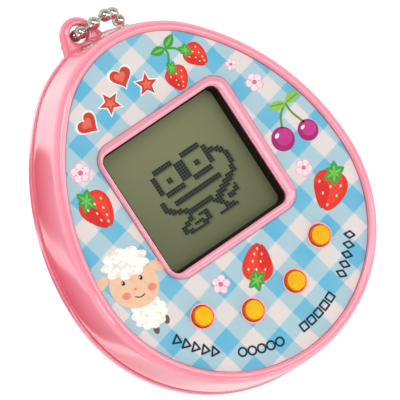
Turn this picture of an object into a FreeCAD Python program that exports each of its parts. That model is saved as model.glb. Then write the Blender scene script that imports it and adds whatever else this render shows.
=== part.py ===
import FreeCAD, Part
import Sketcher
import math
import os

# An egg-shaped pocket electronic pet on a bead chain, lying on its back.
# Millimetres. +Z points out of the face, +Y towards the lug at the narrow end, and z = 0 is the flat of
# the back shell. Outlines are drawn about the centre of the screen window, which stands window_y above the
# origin: the origin is the centre of the footprint without the chain.

SIZES = {
    # egg outline of the label: four tangent arcs, and every other outline is grown from it
    "egg_bottom": 22.9,
    "egg_side": 38.5,
    "egg_top": 16.3,
    "egg_low": 8.3,
    "egg_high": 7.5,
    "window_y": 1.55,
    # how far each outline stands outside the label's
    "zero_grow": 0.0,
    "lip_grow": 2.6,
    "front_foot_grow": 2.35,
    "rim_grow": 1.45,
    "front_cavity_grow": 0.5,
    "label_shrink": 0.1,
    "base_shrink": 10.9,
    "back_floor_shrink": 11.3,
    "back_cavity_grow": 1.2,
    "tongue_grow": 0.35,
    "tongue_inner_shrink": 0.45,
    "board_shrink": 0.9,
    # heights above the rest face
    "floor_top": 1.2,
    "flank_top": 4.4,
    "flank_inner_top": 5.26,
    "tongue_foot": 4.9,
    "tongue_top": 7.8,
    "seam_z": 6.55,
    "deck_under": 14.95,
    "deck_top": 16.15,
    "label_top": 16.4,
    "rim_top": 17.0,
    "frame_top": 17.3,
    "board_under": 8.0,
    "board_top": 9.2,
    "glass_under": 12.15,
    "glass_top": 13.75,
    "screen_top": 14.0,
    "liner_top": 16.4,
    # window, frame and liner
    "window_wide": 22.35,
    "window_tall": 21.4,
    "window_shift": -0.67,
    "window_corner": 1.5,
    "frame_wide": 24.9,
    "frame_tall": 23.9,
    "frame_corner": 3.0,
    "liner_gap": 0.1,
    "liner_wall": 0.25,
    "liner_flange_wide": 27.0,
    "liner_flange_tall": 26.0,
    "liner_flange_top": 14.85,
    # display stack
    "glass_wide": 27.6,
    "glass_tall": 26.6,
    "polariser_wide": 24.8,
    "polariser_tall": 24.0,
    "reflector_wide": 23.0,
    "reflector_tall": 21.6,
    "reflector_y": 1.1,
    "reflector_thick": 0.25,
    "holder_wide": 28.0,
    "holder_tall": 27.0,
    "holder_inner_wide": 25.4,
    "holder_inner_tall": 24.4,
    "strip_wide": 24.0,
    "strip_deep": 1.8,
    "strip_y": 11.1,
    # four buttons on an arc below the window
    "button_arc": 18.07,
    "button_arc_low": 4.06,
    "inner_angle": 13.2,
    "outer_angle": 39.5,
    "cap_radius": 1.7,
    "cap_top": 17.15,
    "cap_round": 0.35,
    "hole_radius": 1.8,
    "flange_radius": 2.5,
    "flange_under": 14.0,
    "flange_top": 14.8,
    "stem_radius": 1.3,
    "stem_foot": 11.8,
    "dome_top": 11.7,
    "dome_foot_radius": 2.9,
    "dome_crown_radius": 1.6,
    "dome_wall": 0.6,
    # screws and their posts
    "post_radius": 2.1,
    "board_post_radius": 1.8,
    "pilot_radius": 0.8,
    "pilot_deep": 5.5,
    "case_post_foot": 6.6,
    "boss_radius": 2.9,
    "boss_top": 6.5,
    "boss_foot": 3.2,
    "counterbore_radius": 2.0,
    "counterbore_top": 4.4,
    "screw_hole_radius": 1.15,
    "head_radius": 1.75,
    "head_thick": 1.2,
    "shank_radius": 0.8,
    "case_screw_reach": 6.5,
    "board_screw_reach": 5.0,
    "slot_long": 2.2,
    "slot_wide": 0.5,
    "screw_gap": 0.1,
    "post_gap": 0.3,
    # battery
    "cell_radius": 5.8,
    "cell_thick": 5.4,
    "cell_low": 5.2,
    "cell_foot": 1.45,
    "cell_round": 0.4,
    "well_radius": 7.6,
    "well_inner_radius": 6.3,
    "well_top": 6.7,
    "door_low": 8.0,
    "door_wide": 14.0,
    "door_tall": 20.0,
    "door_corner": 3.0,
    "door_gap": 0.15,
    "door_foot": 0.1,
    "door_screw_low": 15.2,
    "door_boss_foot": 1.35,
    "door_boss_top": 6.0,
    "door_sink_top": 0.85,
    "bridge_reach": 7.9,
    "bridge_deep": 1.4,
    "bridge_foot_wide": 1.2,
    "grip_wide": 6.0,
    "grip_deep": 0.5,
    "grip_y": -2.5,
    "grip_pitch": 1.1,
    "leaf_thick": 0.25,
    "leaf_half_wide": 2.0,
    "leaf_reach": 3.0,
    "leaf_tip_lift": 0.4,
    "contact_thick": 0.2,
    "contact_wide": 1.8,
    "contact_gap": 0.05,
    # under the board
    "blob_radius": 4.0,
    "blob_thick": 1.3,
    "blob_round": 1.2,
    "crystal_radius": 1.0,
    "crystal_long": 6.0,
    "blob_x": 10.5,
    "blob_y": 8.5,
    "crystal_x": -14.0,
    "crystal_y": -14.5,
    "chip_long": 1.6,
    "chip_wide": 0.9,
    "chip_thick": 0.6,
    # sounder
    "sounder_y": 7.5,
    "sounder_radius": 4.6,
    "sounder_wall": 0.7,
    "sounder_ring_top": 3.0,
    "sounder_thick": 0.25,
    "sound_hole_radius": 0.5,
    "sound_hole_arc": 2.2,
    "sounder_pin_radius": 0.35,
    "sounder_pin_x": 1.5,
    # lug and chain
    "lug_y": 27.9,
    "lug_radius": 2.8,
    "lug_hole_radius": 1.42,
    "lug_flare": 20.0,
    "lug_root_y": 24.0,
    "lug_under": 3.9,
    "lug_top": 6.4,
    "bead": 2.1,
    "clasp_wrap": 0.7,
    "clasp_gap": 0.05,
}

# The bead chain's route from its connector, up over the lug, down through its hole, and round under the
# flank of the back shell to the connector's other end. Measured from the screen window's centre.
CHAIN_ROUTE = [
    (18.2, 7.4, 1.05),
    (15.2, 13.1, 1.1),
    (11.3, 18.8, 1.05),
    (8.9, 23.0, 1.2),
    (7.9, 25.4, 2.5),
    (7.2, 27.5, 4.6),
    (5.6, 28.1, 6.9),
    (3.4, 28.2, 8.1),
    (1.35, 28.0, 8.15),
    (0.0, 27.9, 6.6),
    (0.05, 27.85, 2.9),
    (-1.2, 27.2, 1.4),
    (-2.6, 24.9, 1.05),
    (-5.6, 21.8, 1.1),
    (-10.6, 18.6, 1.05),
    (-15.3, 12.4, 1.1),
    (-19.8, 2.9, 1.05),
    (-22.0, -8.3, 1.1),
    (-19.2, -19.3, 1.05),
    (-11.2, -27.3, 1.1),
    (-0.2, -30.3, 1.05),
    (10.9, -27.4, 1.1),
    (19.1, -19.2, 1.05),
    (22.1, -8.5, 1.1),
    (20.9, -0.4, 1.05),
]

CASE_SCREWS = [(-17.0, 2.0), (17.0, 2.0), (0.0, -26.6), (0.0, 18.2)]
BOARD_SCREWS = [(-16.4, -9.0), (16.4, -9.0), (-10.0, 15.8), (10.0, 15.8)]
CHIPS = [(-14, 9), (-11.5, 9), (-12.7, 12), (13, -13), (13, -15.5), (9.5, -18)]
BUTTONS = {"select": ("outer", -1), "confirm": ("inner", -1), "back": ("inner", 1), "reset": ("outer", 1)}

doc = FreeCAD.newDocument("pet")
sheet = doc.addObject("Spreadsheet::Sheet", "dims")
parts = {}


def fill_sheet():
    for row, (alias, value) in enumerate(SIZES.items(), start=1):
        sheet.set(f"A{row}", alias)
        sheet.set(f"B{row}", str(value))
        sheet.setAlias(f"B{row}", alias)
    doc.recompute()


def size(alias):
    return float(sheet.get(alias))


def bind(item, expressions):
    for prop, expression in expressions.items():
        item.setExpression(prop, expression)


def place(item, x="0", y="0", z="0"):
    """Put a piece at x and y from the window's centre, and z above the rest face."""
    bind(item, {"Placement.Base.x": x, "Placement.Base.y": f"dims.window_y + ({y})", "Placement.Base.z": z})
    return item


def keep(item, name):
    item.Label = name
    parts[name] = item
    return item


# ---- sketches ---------------------------------------------------------------------------------------


def new_body(name):
    body = doc.addObject("PartDesign::Body", name)
    return place(body)


def new_sketch(body, name, height="0", plane="XY_Plane"):
    sketch = body.newObject("Sketcher::SketchObject", name)
    planes = [p for p in body.Origin.OriginFeatures if p.Role == plane]
    sketch.AttachmentSupport = [(planes[0], "")]
    sketch.MapMode = "FlatFace"
    sketch.setExpression("AttachmentOffset.Base.z", height)
    return sketch


def name_constraint(sketch, constraint, name, expression):
    index = sketch.addConstraint(constraint)
    sketch.renameConstraint(index, name)
    sketch.setExpression(f"Constraints.{name}", expression)


def add_egg(sketch, grow, tag="egg"):
    """The egg of four tangent arcs, grown by the expression grow."""
    swell = sheet_value(grow)
    low, high = -size("egg_low"), size("egg_high")
    bottom, side, top = (size(k) + swell for k in ("egg_bottom", "egg_side", "egg_top"))
    side_x = side - bottom
    turn = math.atan2(high - low, side_x)
    full = math.pi
    arcs = [
        ((0, low), bottom, full, 2 * full),
        ((-side_x, low), side, 0, turn),
        ((0, high), top, turn, full - turn),
        ((side_x, low), side, full - turn, full),
    ]
    first = len(sketch.Geometry)
    for (x, y), radius, start, end in arcs:
        circle = Part.Circle(FreeCAD.Vector(x, y, 0), FreeCAD.Vector(0, 0, 1), radius)
        sketch.addGeometry(Part.ArcOfCircle(circle, start, end))
    for k in range(4):
        sketch.addConstraint(Sketcher.Constraint("Tangent", first + k, 2, first + (k + 1) % 4, 1))
    sketch.addConstraint(Sketcher.Constraint("PointOnObject", first, 3, -2))
    sketch.addConstraint(Sketcher.Constraint("PointOnObject", first + 2, 3, -2))
    sketch.addConstraint(Sketcher.Constraint("Equal", first + 1, first + 3))
    for name, geometry, alias, radius in (
        ("bottom", first, "egg_bottom", bottom),
        ("side", first + 1, "egg_side", side),
        ("top", first + 2, "egg_top", top),
    ):
        radius_of = Sketcher.Constraint("Radius", geometry, radius)
        name_constraint(sketch, radius_of, f"{tag}_{name}", f"dims.{alias} + ({grow})")
    below = Sketcher.Constraint("DistanceY", first, 3, -1, 1, -low)
    above = Sketcher.Constraint("DistanceY", -1, 1, first + 2, 3, high)
    name_constraint(sketch, below, f"{tag}_low", "dims.egg_low")
    name_constraint(sketch, above, f"{tag}_high", "dims.egg_high")
    return sketch


def sheet_value(expression):
    """A signed alias such as dims.rim_grow or -dims.base_shrink as a number."""
    sign = -1 if expression.startswith("-") else 1
    return sign * size(expression.lstrip("-").removeprefix("dims."))


def add_rounded(sketch, wide, tall, corner, tag="frame"):
    """A rectangle with round corners about the sketch's origin, from three sheet expressions."""
    half_x, half_y, radius = (sketch_value(sketch, k) for k in (wide, tall, corner))
    half_x, half_y = half_x / 2, half_y / 2
    inner_x, inner_y = half_x - radius, half_y - radius
    first = len(sketch.Geometry)
    corners = [(inner_x, inner_y, 0), (-inner_x, inner_y, 1), (-inner_x, -inner_y, 2), (inner_x, -inner_y, 3)]
    for x, y, quarter in corners:
        circle = Part.Circle(FreeCAD.Vector(x, y, 0), FreeCAD.Vector(0, 0, 1), radius)
        start = quarter * math.pi / 2
        sketch.addGeometry(Part.ArcOfCircle(circle, start, start + math.pi / 2))
    sides = [
        ((inner_x, half_y), (-inner_x, half_y)),
        ((-half_x, inner_y), (-half_x, -inner_y)),
        ((-inner_x, -half_y), (inner_x, -half_y)),
        ((half_x, -inner_y), (half_x, inner_y)),
    ]
    for start, end in sides:
        sketch.addGeometry(Part.LineSegment(FreeCAD.Vector(*start, 0), FreeCAD.Vector(*end, 0)))
    for k in range(4):
        arc, line, following = first + k, first + 4 + k, first + (k + 1) % 4
        sketch.addConstraint(Sketcher.Constraint("Tangent", arc, 2, line, 1))
        sketch.addConstraint(Sketcher.Constraint("Tangent", line, 2, following, 1))
        sketch.addConstraint(Sketcher.Constraint("Vertical" if k % 2 else "Horizontal", line))
    for k in range(1, 4):
        sketch.addConstraint(Sketcher.Constraint("Equal", first, first + k))
    sketch.addConstraint(Sketcher.Constraint("Symmetric", first, 3, first + 2, 3, -1, 1))
    name_constraint(sketch, Sketcher.Constraint("Radius", first, radius), f"{tag}_corner", corner)
    across = Sketcher.Constraint("DistanceX", first + 5, 1, first + 7, 1, 2 * half_x)
    along = Sketcher.Constraint("DistanceY", first + 6, 1, first + 4, 1, 2 * half_y)
    name_constraint(sketch, across, f"{tag}_wide", wide)
    name_constraint(sketch, along, f"{tag}_tall", tall)
    return sketch


def sketch_value(sketch, expression):
    """An expression of the sheet's aliases as a number."""
    return float(sketch.evalExpression(expression))


# ---- features ---------------------------------------------------------------------------------------


def pad(body, name, sketch, length, down=False):
    feature = body.newObject("PartDesign::Pad", name)
    feature.Profile = sketch
    feature.Reversed = down
    feature.setExpression("Length", length)
    sketch.Visibility = False
    return feature


def pocket(body, name, sketch, length, up=False):
    before = volume_of(body)
    feature = body.newObject("PartDesign::Pocket", name)
    feature.Profile = sketch
    feature.Reversed = up
    feature.setExpression("Length", length)
    if not volume_of(body) < before:
        raise ValueError(f"{name} cuts nothing")
    return feature


def loft(body, kind, name, lower, upper):
    feature = body.newObject(f"PartDesign::{kind}Loft", name)
    feature.Profile = lower
    feature.Sections = [upper]
    feature.Ruled = True
    return feature


def volume_of(body):
    doc.recompute()
    return body.Shape.Volume


def cylinder(name, radius, foot, top, x="0", y="0"):
    item = doc.addObject("Part::Cylinder", name)
    bind(item, {"Radius": radius, "Height": f"({top}) - ({foot})"})
    return place(item, x, y, foot)


def block(name, wide, tall, foot, top, x="0", y="0"):
    """A box centred on x and y."""
    item = doc.addObject("Part::Box", name)
    bind(item, {"Length": wide, "Width": tall, "Height": f"({top}) - ({foot})"})
    return place(item, f"({x}) - ({wide}) / 2", f"({y}) - ({tall}) / 2", foot)


def fuse(name, items):
    item = doc.addObject("Part::MultiFuse", name)
    item.Shapes = items
    return item


def cut(name, base, tools):
    tool = tools[0] if len(tools) == 1 else fuse(f"{name}_tools", tools)
    item = doc.addObject("Part::Cut", name)
    item.Base = base
    item.Tool = tool
    return item


def group(name, items):
    item = doc.addObject("Part::Compound", name)
    item.Links = items
    return item


def rounded_plate(name, wide, tall, corner, foot, top, x="0", y="0"):
    body = new_body(name)
    place(body, x, y, foot)
    pad(body, f"{name}_pad", add_rounded(new_sketch(body, f"{name}_sketch"), wide, tall, corner),
        f"({top}) - ({foot})")
    return body


def button_centre(name):
    row, side = BUTTONS[name]
    x = f"{side} * dims.button_arc * sin(dims.{row}_angle * 1deg)"
    y = f"-dims.button_arc_low - dims.button_arc * cos(dims.{row}_angle * 1deg)"
    return x, y


# ---- casing -----------------------------------------------------------------------------------------


def front_shell():
    """Tapered wall, a deck under the label, a raised rim, a raised window frame, and posts inside."""
    body = new_body("front_moulding")
    foot = add_egg(new_sketch(body, "front_foot", "dims.seam_z"), "dims.front_foot_grow")
    rim = add_egg(new_sketch(body, "front_rim", "dims.rim_top"), "dims.rim_grow")
    loft(body, "Additive", "front_wall", foot, rim)
    cavity = add_egg(new_sketch(body, "front_cavity", "dims.seam_z"), "dims.front_cavity_grow")
    pocket(body, "front_hollow", cavity, "dims.deck_under - dims.seam_z", up=True)
    seat = add_egg(new_sketch(body, "label_seat", "dims.rim_top"), "dims.zero_grow")
    add_rounded(seat, "dims.frame_wide", "dims.frame_tall", "dims.frame_corner")
    pocket(body, "label_recess", seat, "dims.rim_top - dims.deck_top")
    frame = add_rounded(new_sketch(body, "window_frame", "dims.rim_top"),
                        "dims.frame_wide", "dims.frame_tall", "dims.frame_corner")
    pad(body, "frame_rise", frame, "dims.frame_top - dims.rim_top")
    window = add_rounded(new_sketch(body, "window", "dims.frame_top"),
                         "dims.window_wide", "dims.window_tall", "dims.window_corner")
    window.setExpression("AttachmentOffset.Base.x", "dims.window_shift")
    pocket(body, "window_opening", window, "dims.frame_top - dims.deck_under")
    holes = [
        cylinder(f"hole_{name}", "dims.hole_radius", "dims.deck_under - 1", "dims.label_top", *button_centre(name))
        for name in BUTTONS
    ]
    posts, pilots = [], []
    for k, (x, y) in enumerate(CASE_SCREWS):
        posts.append(cylinder(f"case_post_{k}", "dims.post_radius", "dims.case_post_foot",
                              "dims.deck_under", str(x), str(y)))
        pilots.append(cylinder(f"case_pilot_{k}", "dims.pilot_radius", "dims.case_post_foot",
                               "dims.case_post_foot + dims.pilot_deep", str(x), str(y)))
    for k, (x, y) in enumerate(BOARD_SCREWS):
        posts.append(cylinder(f"board_post_{k}", "dims.board_post_radius", "dims.board_top",
                              "dims.deck_under", str(x), str(y)))
        pilots.append(cylinder(f"board_pilot_{k}", "dims.pilot_radius", "dims.board_top",
                               "dims.deck_under", str(x), str(y)))
    keep(cut("front_shell", fuse("front_with_posts", [body, *posts]), holes + pilots), "front_shell")


def back_shell():
    """A shallow pan with sloped flanks, a proud lip, the lug, bosses, battery well and sound holes."""
    body = new_body("back_moulding")
    base = add_egg(new_sketch(body, "back_base"), "-dims.base_shrink")
    flank = add_egg(new_sketch(body, "back_flank", "dims.flank_top"), "dims.lip_grow")
    loft(body, "Additive", "back_slope", base, flank)
    lip = add_egg(new_sketch(body, "back_lip", "dims.flank_top"), "dims.lip_grow")
    pad(body, "back_lip_wall", lip, "dims.seam_z - dims.flank_top")
    tab = lug_sketch(body)
    pad(body, "lug_tab", tab, "dims.lug_top - dims.lug_under")
    floor = add_egg(new_sketch(body, "back_floor", "dims.floor_top"), "-dims.back_floor_shrink")
    inner = add_egg(new_sketch(body, "back_inner", "dims.flank_inner_top"), "dims.back_cavity_grow")
    loft(body, "Subtractive", "back_hollow", floor, inner)
    mouth = add_egg(new_sketch(body, "back_mouth", "dims.flank_inner_top"), "dims.back_cavity_grow")
    pocket(body, "back_mouth_cut", mouth, "dims.seam_z - dims.flank_inner_top", up=True)
    tongue = add_egg(new_sketch(body, "tongue", "dims.tongue_foot"), "dims.tongue_grow", "outer")
    add_egg(tongue, "-dims.tongue_inner_shrink", "inner")
    pad(body, "tongue_ring", tongue, "dims.tongue_top - dims.tongue_foot")

    added = [cylinder("well", "dims.well_radius", "dims.floor_top - 0.2", "dims.well_top", "0", "-dims.cell_low")]
    cuts = [cylinder("well_bore", "dims.well_inner_radius", "-1", "dims.well_top + 1", "0", "-dims.cell_low")]
    for k, (x, y) in enumerate(CASE_SCREWS):
        added.append(cylinder(f"boss_{k}", "dims.boss_radius", "dims.boss_foot", "dims.boss_top", str(x), str(y)))
        cuts.append(cylinder(f"head_hole_{k}", "dims.counterbore_radius", "-1", "dims.counterbore_top",
                             str(x), str(y)))
        cuts.append(cylinder(f"screw_hole_{k}", "dims.screw_hole_radius", "0", "dims.boss_top + 2",
                             str(x), str(y)))
    for k in range(7):
        arc = "0" if k == 0 else "dims.sound_hole_arc"
        cuts.append(cylinder(f"sound_hole_{k}", "dims.sound_hole_radius", "-1", "dims.floor_top + 1",
                             f"{arc} * cos({60 * k} * 1deg)", f"dims.sounder_y + {arc} * sin({60 * k} * 1deg)"))
    door_hole = rounded_plate("door_hole", "dims.door_wide + 2 * dims.door_gap",
                              "dims.door_tall + 2 * dims.door_gap", "dims.door_corner + dims.door_gap",
                              "-1", "dims.door_boss_foot", y="-dims.door_low")
    hollowed = cut("back_hollowed", fuse("back_with_bosses", [body, *added]), [*cuts, door_hole])
    screw_y = "-dims.door_screw_low"
    bridge = [
        cylinder("door_boss", "dims.post_radius", "dims.door_boss_foot", "dims.door_boss_top", "0", screw_y),
        block("door_bridge", "2 * dims.bridge_reach", "dims.bridge_deep", "dims.door_boss_foot",
              "dims.door_boss_top - 1", "0", screw_y),
    ]
    for side in (-1, 1):
        bridge.append(block(f"bridge_foot_{side + 1}", "dims.bridge_foot_wide", "dims.bridge_deep",
                            "dims.floor_top - 0.2", "dims.door_boss_top - 1",
                            f"{side} * dims.bridge_reach", screw_y))
    pilot = cylinder("door_pilot", "dims.shank_radius + 0.08", "0", "dims.door_boss_top - 0.6", "0", screw_y)
    hole = cylinder("lug_hole", "dims.lug_hole_radius", "0", "dims.lug_top + 1", "0", "dims.lug_y")
    keep(cut("back_shell", fuse("back_with_bridge", [hollowed, *bridge]), [pilot, hole]), "back_shell")


def lug_sketch(body):
    """A round eye whose sides flare into the shell's lip."""
    sketch = new_sketch(body, "lug_outline", "dims.lug_under")
    eye, radius, root = size("lug_y"), size("lug_radius"), size("lug_root_y")
    flare = math.radians(size("lug_flare"))
    touch = FreeCAD.Vector(radius * math.cos(flare), eye + radius * math.sin(flare), 0)
    foot = FreeCAD.Vector(touch.x + (touch.y - root) * math.tan(flare), root, 0)
    mirrored = [FreeCAD.Vector(-p.x, p.y, 0) for p in (touch, foot)]
    circle = Part.Circle(FreeCAD.Vector(0, eye, 0), FreeCAD.Vector(0, 0, 1), radius)
    sketch.addGeometry(Part.ArcOfCircle(circle, flare, math.pi - flare))
    sketch.addGeometry(Part.LineSegment(mirrored[0], mirrored[1]))
    sketch.addGeometry(Part.LineSegment(mirrored[1], foot))
    sketch.addGeometry(Part.LineSegment(foot, touch))
    sketch.addConstraint(Sketcher.Constraint("Tangent", 0, 2, 1, 1))
    sketch.addConstraint(Sketcher.Constraint("Coincident", 1, 2, 2, 1))
    sketch.addConstraint(Sketcher.Constraint("Coincident", 2, 2, 3, 1))
    sketch.addConstraint(Sketcher.Constraint("Tangent", 3, 2, 0, 1))
    sketch.addConstraint(Sketcher.Constraint("PointOnObject", 0, 3, -2))
    sketch.addConstraint(Sketcher.Constraint("Symmetric", 1, 2, 2, 2, -2))
    name_constraint(sketch, Sketcher.Constraint("Radius", 0, radius), "eye_radius", "dims.lug_radius")
    name_constraint(sketch, Sketcher.Constraint("DistanceY", -1, 1, 0, 3, eye), "eye_y", "dims.lug_y")
    name_constraint(sketch, Sketcher.Constraint("DistanceY", -1, 1, 2, 1, root), "root_y", "dims.lug_root_y")
    drop = "dims.lug_y + dims.lug_radius * sin(dims.lug_flare * 1deg) - dims.lug_root_y"
    half = f"dims.lug_radius * cos(dims.lug_flare * 1deg) + ({drop}) * tan(dims.lug_flare * 1deg)"
    across = Sketcher.Constraint("DistanceX", 2, 1, 2, 2, 2 * foot.x)
    name_constraint(sketch, across, "root_wide", f"2 * ({half})")
    return sketch


def face_label():
    body = new_body("label_sheet")
    outline = add_egg(new_sketch(body, "label_outline", "dims.deck_top"), "-dims.label_shrink")
    add_rounded(outline, "dims.frame_wide + 0.2", "dims.frame_tall + 0.2", "dims.frame_corner + 0.1")
    pad(body, "label_pad", outline, "dims.label_top - dims.deck_top")
    holes = [
        cylinder(f"label_hole_{name}", "dims.hole_radius + 0.05", "dims.deck_top - 1", "dims.label_top + 1",
                 *button_centre(name))
        for name in BUTTONS
    ]
    keep(cut("face_label", body, holes), "face_label")


# ---- display ----------------------------------------------------------------------------------------


def screen_liner():
    """A thin black sleeve in the window with a flange that the deck holds on the display."""
    wide, tall = ("dims.window_wide - 2 * dims.liner_gap", "dims.window_tall - 2 * dims.liner_gap")
    wall = "2 * dims.liner_wall"
    sleeve = rounded_plate("liner_sleeve", wide, tall, "dims.window_corner - dims.liner_gap",
                           "dims.screen_top", "dims.liner_top", x="dims.window_shift")
    flange = rounded_plate("liner_flange", "dims.liner_flange_wide", "dims.liner_flange_tall",
                           "dims.window_corner", "dims.screen_top", "dims.liner_flange_top")
    bore = rounded_plate("liner_bore", f"{wide} - {wall}", f"{tall} - {wall}",
                         "dims.window_corner - dims.liner_gap - dims.liner_wall",
                         "dims.screen_top - 1", "dims.liner_top + 1", x="dims.window_shift")
    keep(cut("screen_liner", fuse("liner_solid", [sleeve, flange]), [bore]), "screen_liner")


def display_stack():
    keep(block("lcd_polariser", "dims.polariser_wide", "dims.polariser_tall", "dims.glass_top",
               "dims.screen_top"), "lcd_polariser")
    keep(block("lcd_glass", "dims.glass_wide", "dims.glass_tall", "dims.glass_under", "dims.glass_top"),
         "lcd_glass")
    keep(block("lcd_reflector", "dims.reflector_wide", "dims.reflector_tall",
               "dims.glass_under - dims.reflector_thick", "dims.glass_under", "0", "dims.reflector_y"),
         "lcd_reflector")
    outer = block("holder_outer", "dims.holder_wide", "dims.holder_tall", "dims.board_top", "dims.glass_under")
    inner = block("holder_inner", "dims.holder_inner_wide", "dims.holder_inner_tall", "dims.board_top - 1",
                  "dims.glass_under + 1")
    keep(cut("lcd_holder", outer, [inner]), "lcd_holder")
    keep(block("contact_strip", "dims.strip_wide", "dims.strip_deep", "dims.board_top", "dims.glass_under",
               "0", "-dims.strip_y"), "contact_strip")


# ---- circuit board ----------------------------------------------------------------------------------


def circuit_board():
    body = new_body("board_blank")
    outline = add_egg(new_sketch(body, "board_outline", "dims.board_under"), "-dims.board_shrink")
    pad(body, "board_pad", outline, "dims.board_top - dims.board_under")
    holes = [
        cylinder(f"board_gap_{k}", "dims.post_radius + dims.post_gap", "dims.board_under - 1",
                 "dims.board_top + 1", str(x), str(y))
        for k, (x, y) in enumerate(CASE_SCREWS)
    ]
    holes += [
        cylinder(f"board_hole_{k}", "dims.shank_radius + dims.screw_gap", "dims.board_under - 1",
                 "dims.board_top + 1", str(x), str(y))
        for k, (x, y) in enumerate(BOARD_SCREWS)
    ]
    keep(cut("circuit_board", body, holes), "circuit_board")


def board_parts():
    """What hangs under the board, in the space above the back shell's floor."""
    blob = cylinder("blob_disc", "dims.blob_radius", "dims.board_under - dims.blob_thick", "dims.board_under",
                    "dims.blob_x", "dims.blob_y")
    crown = doc.addObject("Part::Fillet", "chip_blob")
    crown.Base = blob
    doc.recompute()
    lower = [k for k, e in enumerate(blob.Shape.Edges, start=1) if e.BoundBox.ZMax < size("board_under") - 1]
    crown.Edges = [(k, size("blob_round"), size("blob_round")) for k in lower]
    keep(crown, "chip_blob")
    crystal = doc.addObject("Part::Cylinder", "quartz_crystal")
    bind(crystal, {"Radius": "dims.crystal_radius", "Height": "dims.crystal_long"})
    crystal.Placement.Rotation = FreeCAD.Rotation(FreeCAD.Vector(0, 1, 0), 90)
    place(crystal, "dims.crystal_x", "dims.crystal_y", "dims.board_under - dims.crystal_radius")
    keep(crystal, "quartz_crystal")
    chips = []
    for k, (x, y) in enumerate(CHIPS):
        chips.append(block(f"chip_{k}", "dims.chip_long", "dims.chip_wide", "dims.board_under - dims.chip_thick",
                           "dims.board_under", str(x), str(y)))
    keep(group("board_chips", chips), "board_chips")


def screws():
    for name, places, seat, reach in (
        ("case_screws", CASE_SCREWS, "dims.counterbore_top", "dims.case_screw_reach"),
        ("board_screws", BOARD_SCREWS, "dims.board_under", "dims.board_screw_reach"),
    ):
        face = f"{seat} - dims.head_thick"
        made = []
        for k, (x, y) in enumerate(places):
            head = cylinder(f"{name}_head_{k}", "dims.head_radius", face, seat, str(x), str(y))
            shank = cylinder(f"{name}_shank_{k}", "dims.shank_radius", f"{seat} - dims.head_thick / 2",
                             f"{seat} + {reach}", str(x), str(y))
            slot = block(f"{name}_slot_{k}", "dims.slot_long", "dims.slot_wide", f"{face} - 1",
                         f"{face} + 0.5", str(x), str(y))
            cross = block(f"{name}_cross_{k}", "dims.slot_wide", "dims.slot_long", f"{face} - 1",
                          f"{face} + 0.5", str(x), str(y))
            made.append(cut(f"{name}_{k}", fuse(f"{name}_solid_{k}", [head, shank]), [slot, cross]))
        keep(group(name, made), name)


# ---- buttons ----------------------------------------------------------------------------------------


def buttons():
    for name in BUTTONS:
        x, y = button_centre(name)
        crown = cylinder(f"{name}_crown", "dims.cap_radius", "dims.flange_top - 0.1", "dims.cap_top", x, y)
        rounded = doc.addObject("Part::Fillet", f"{name}_rounded")
        rounded.Base = crown
        doc.recompute()
        upper = [k for k, e in enumerate(crown.Shape.Edges, start=1) if e.BoundBox.ZMin > size("label_top")]
        rounded.Edges = [(k, size("cap_round"), size("cap_round")) for k in upper]
        flange = cylinder(f"{name}_flange", "dims.flange_radius", "dims.flange_under", "dims.flange_top", x, y)
        stem = cylinder(f"{name}_stem", "dims.stem_radius", "dims.stem_foot", "dims.flange_under + 0.1", x, y)
        keep(fuse(f"button_{name}", [rounded, flange, stem]), f"button_{name}")
        keep(key_dome(name, x, y), f"key_dome_{name}")


def key_dome(name, x, y):
    """A hollow rubber dome on the board that pushes its button back up."""
    outer, inner = (doc.addObject("Part::Cone", f"{name}_dome_{k}") for k in ("outer", "inner"))
    bind(outer, {"Radius1": "dims.dome_foot_radius", "Radius2": "dims.dome_crown_radius",
                 "Height": "dims.dome_top - dims.board_top"})
    bind(inner, {"Radius1": "dims.dome_foot_radius - dims.dome_wall",
                 "Radius2": "dims.dome_crown_radius - dims.dome_wall",
                 "Height": "dims.dome_top - dims.board_top - dims.dome_wall"})
    for cone in (outer, inner):
        place(cone, x, y, "dims.board_top")
    return cut(f"key_dome_{name}", outer, [inner])


# ---- battery and sounder ----------------------------------------------------------------------------


def battery():
    cell = cylinder("cell_can", "dims.cell_radius", "dims.cell_foot", "dims.cell_foot + dims.cell_thick",
                    "0", "-dims.cell_low")
    rounded = doc.addObject("Part::Fillet", "button_cell")
    rounded.Base = cell
    doc.recompute()
    rings = [k for k, e in enumerate(cell.Shape.Edges, start=1) if e.BoundBox.ZLength < 0.01]
    rounded.Edges = [(k, size("cell_round"), size("cell_round")) for k in rings]
    keep(rounded, "button_cell")
    contact_x = "dims.cell_radius + dims.contact_gap + dims.contact_thick / 2"
    keep(block("positive_contact", "dims.contact_thick", "dims.contact_wide", "dims.cell_foot + 1",
               "dims.board_under", contact_x, "-dims.cell_low"), "positive_contact")
    leaf = new_body("negative_leaf")
    sketch = new_sketch(leaf, "leaf_side", "-dims.leaf_half_wide", "YZ_Plane")
    low, top, under = -size("cell_low"), size("cell_foot") + size("cell_thick"), size("board_under")
    thick, reach, tip = size("leaf_thick"), size("leaf_reach"), size("leaf_tip_lift")
    touch = low - reach + 0.8
    corners = [(low + reach, under), (low + reach, under - thick), (touch, top + 0.02),
               (low - reach, top + tip), (low - reach, top + tip + thick), (touch, top + 0.02 + thick),
               (low + 0.5, under)]
    for k, (y, z) in enumerate(corners):
        following = corners[(k + 1) % len(corners)]
        sketch.addGeometry(Part.LineSegment(FreeCAD.Vector(y, z, 0), FreeCAD.Vector(*following, 0)))
    for k in range(len(corners)):
        sketch.addConstraint(Sketcher.Constraint("Coincident", k, 2, (k + 1) % len(corners), 1))
        sketch.addConstraint(Sketcher.Constraint("Block", k))
    pad(leaf, "leaf_pad", sketch, "2 * dims.leaf_half_wide")
    keep(leaf, "negative_leaf")


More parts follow.
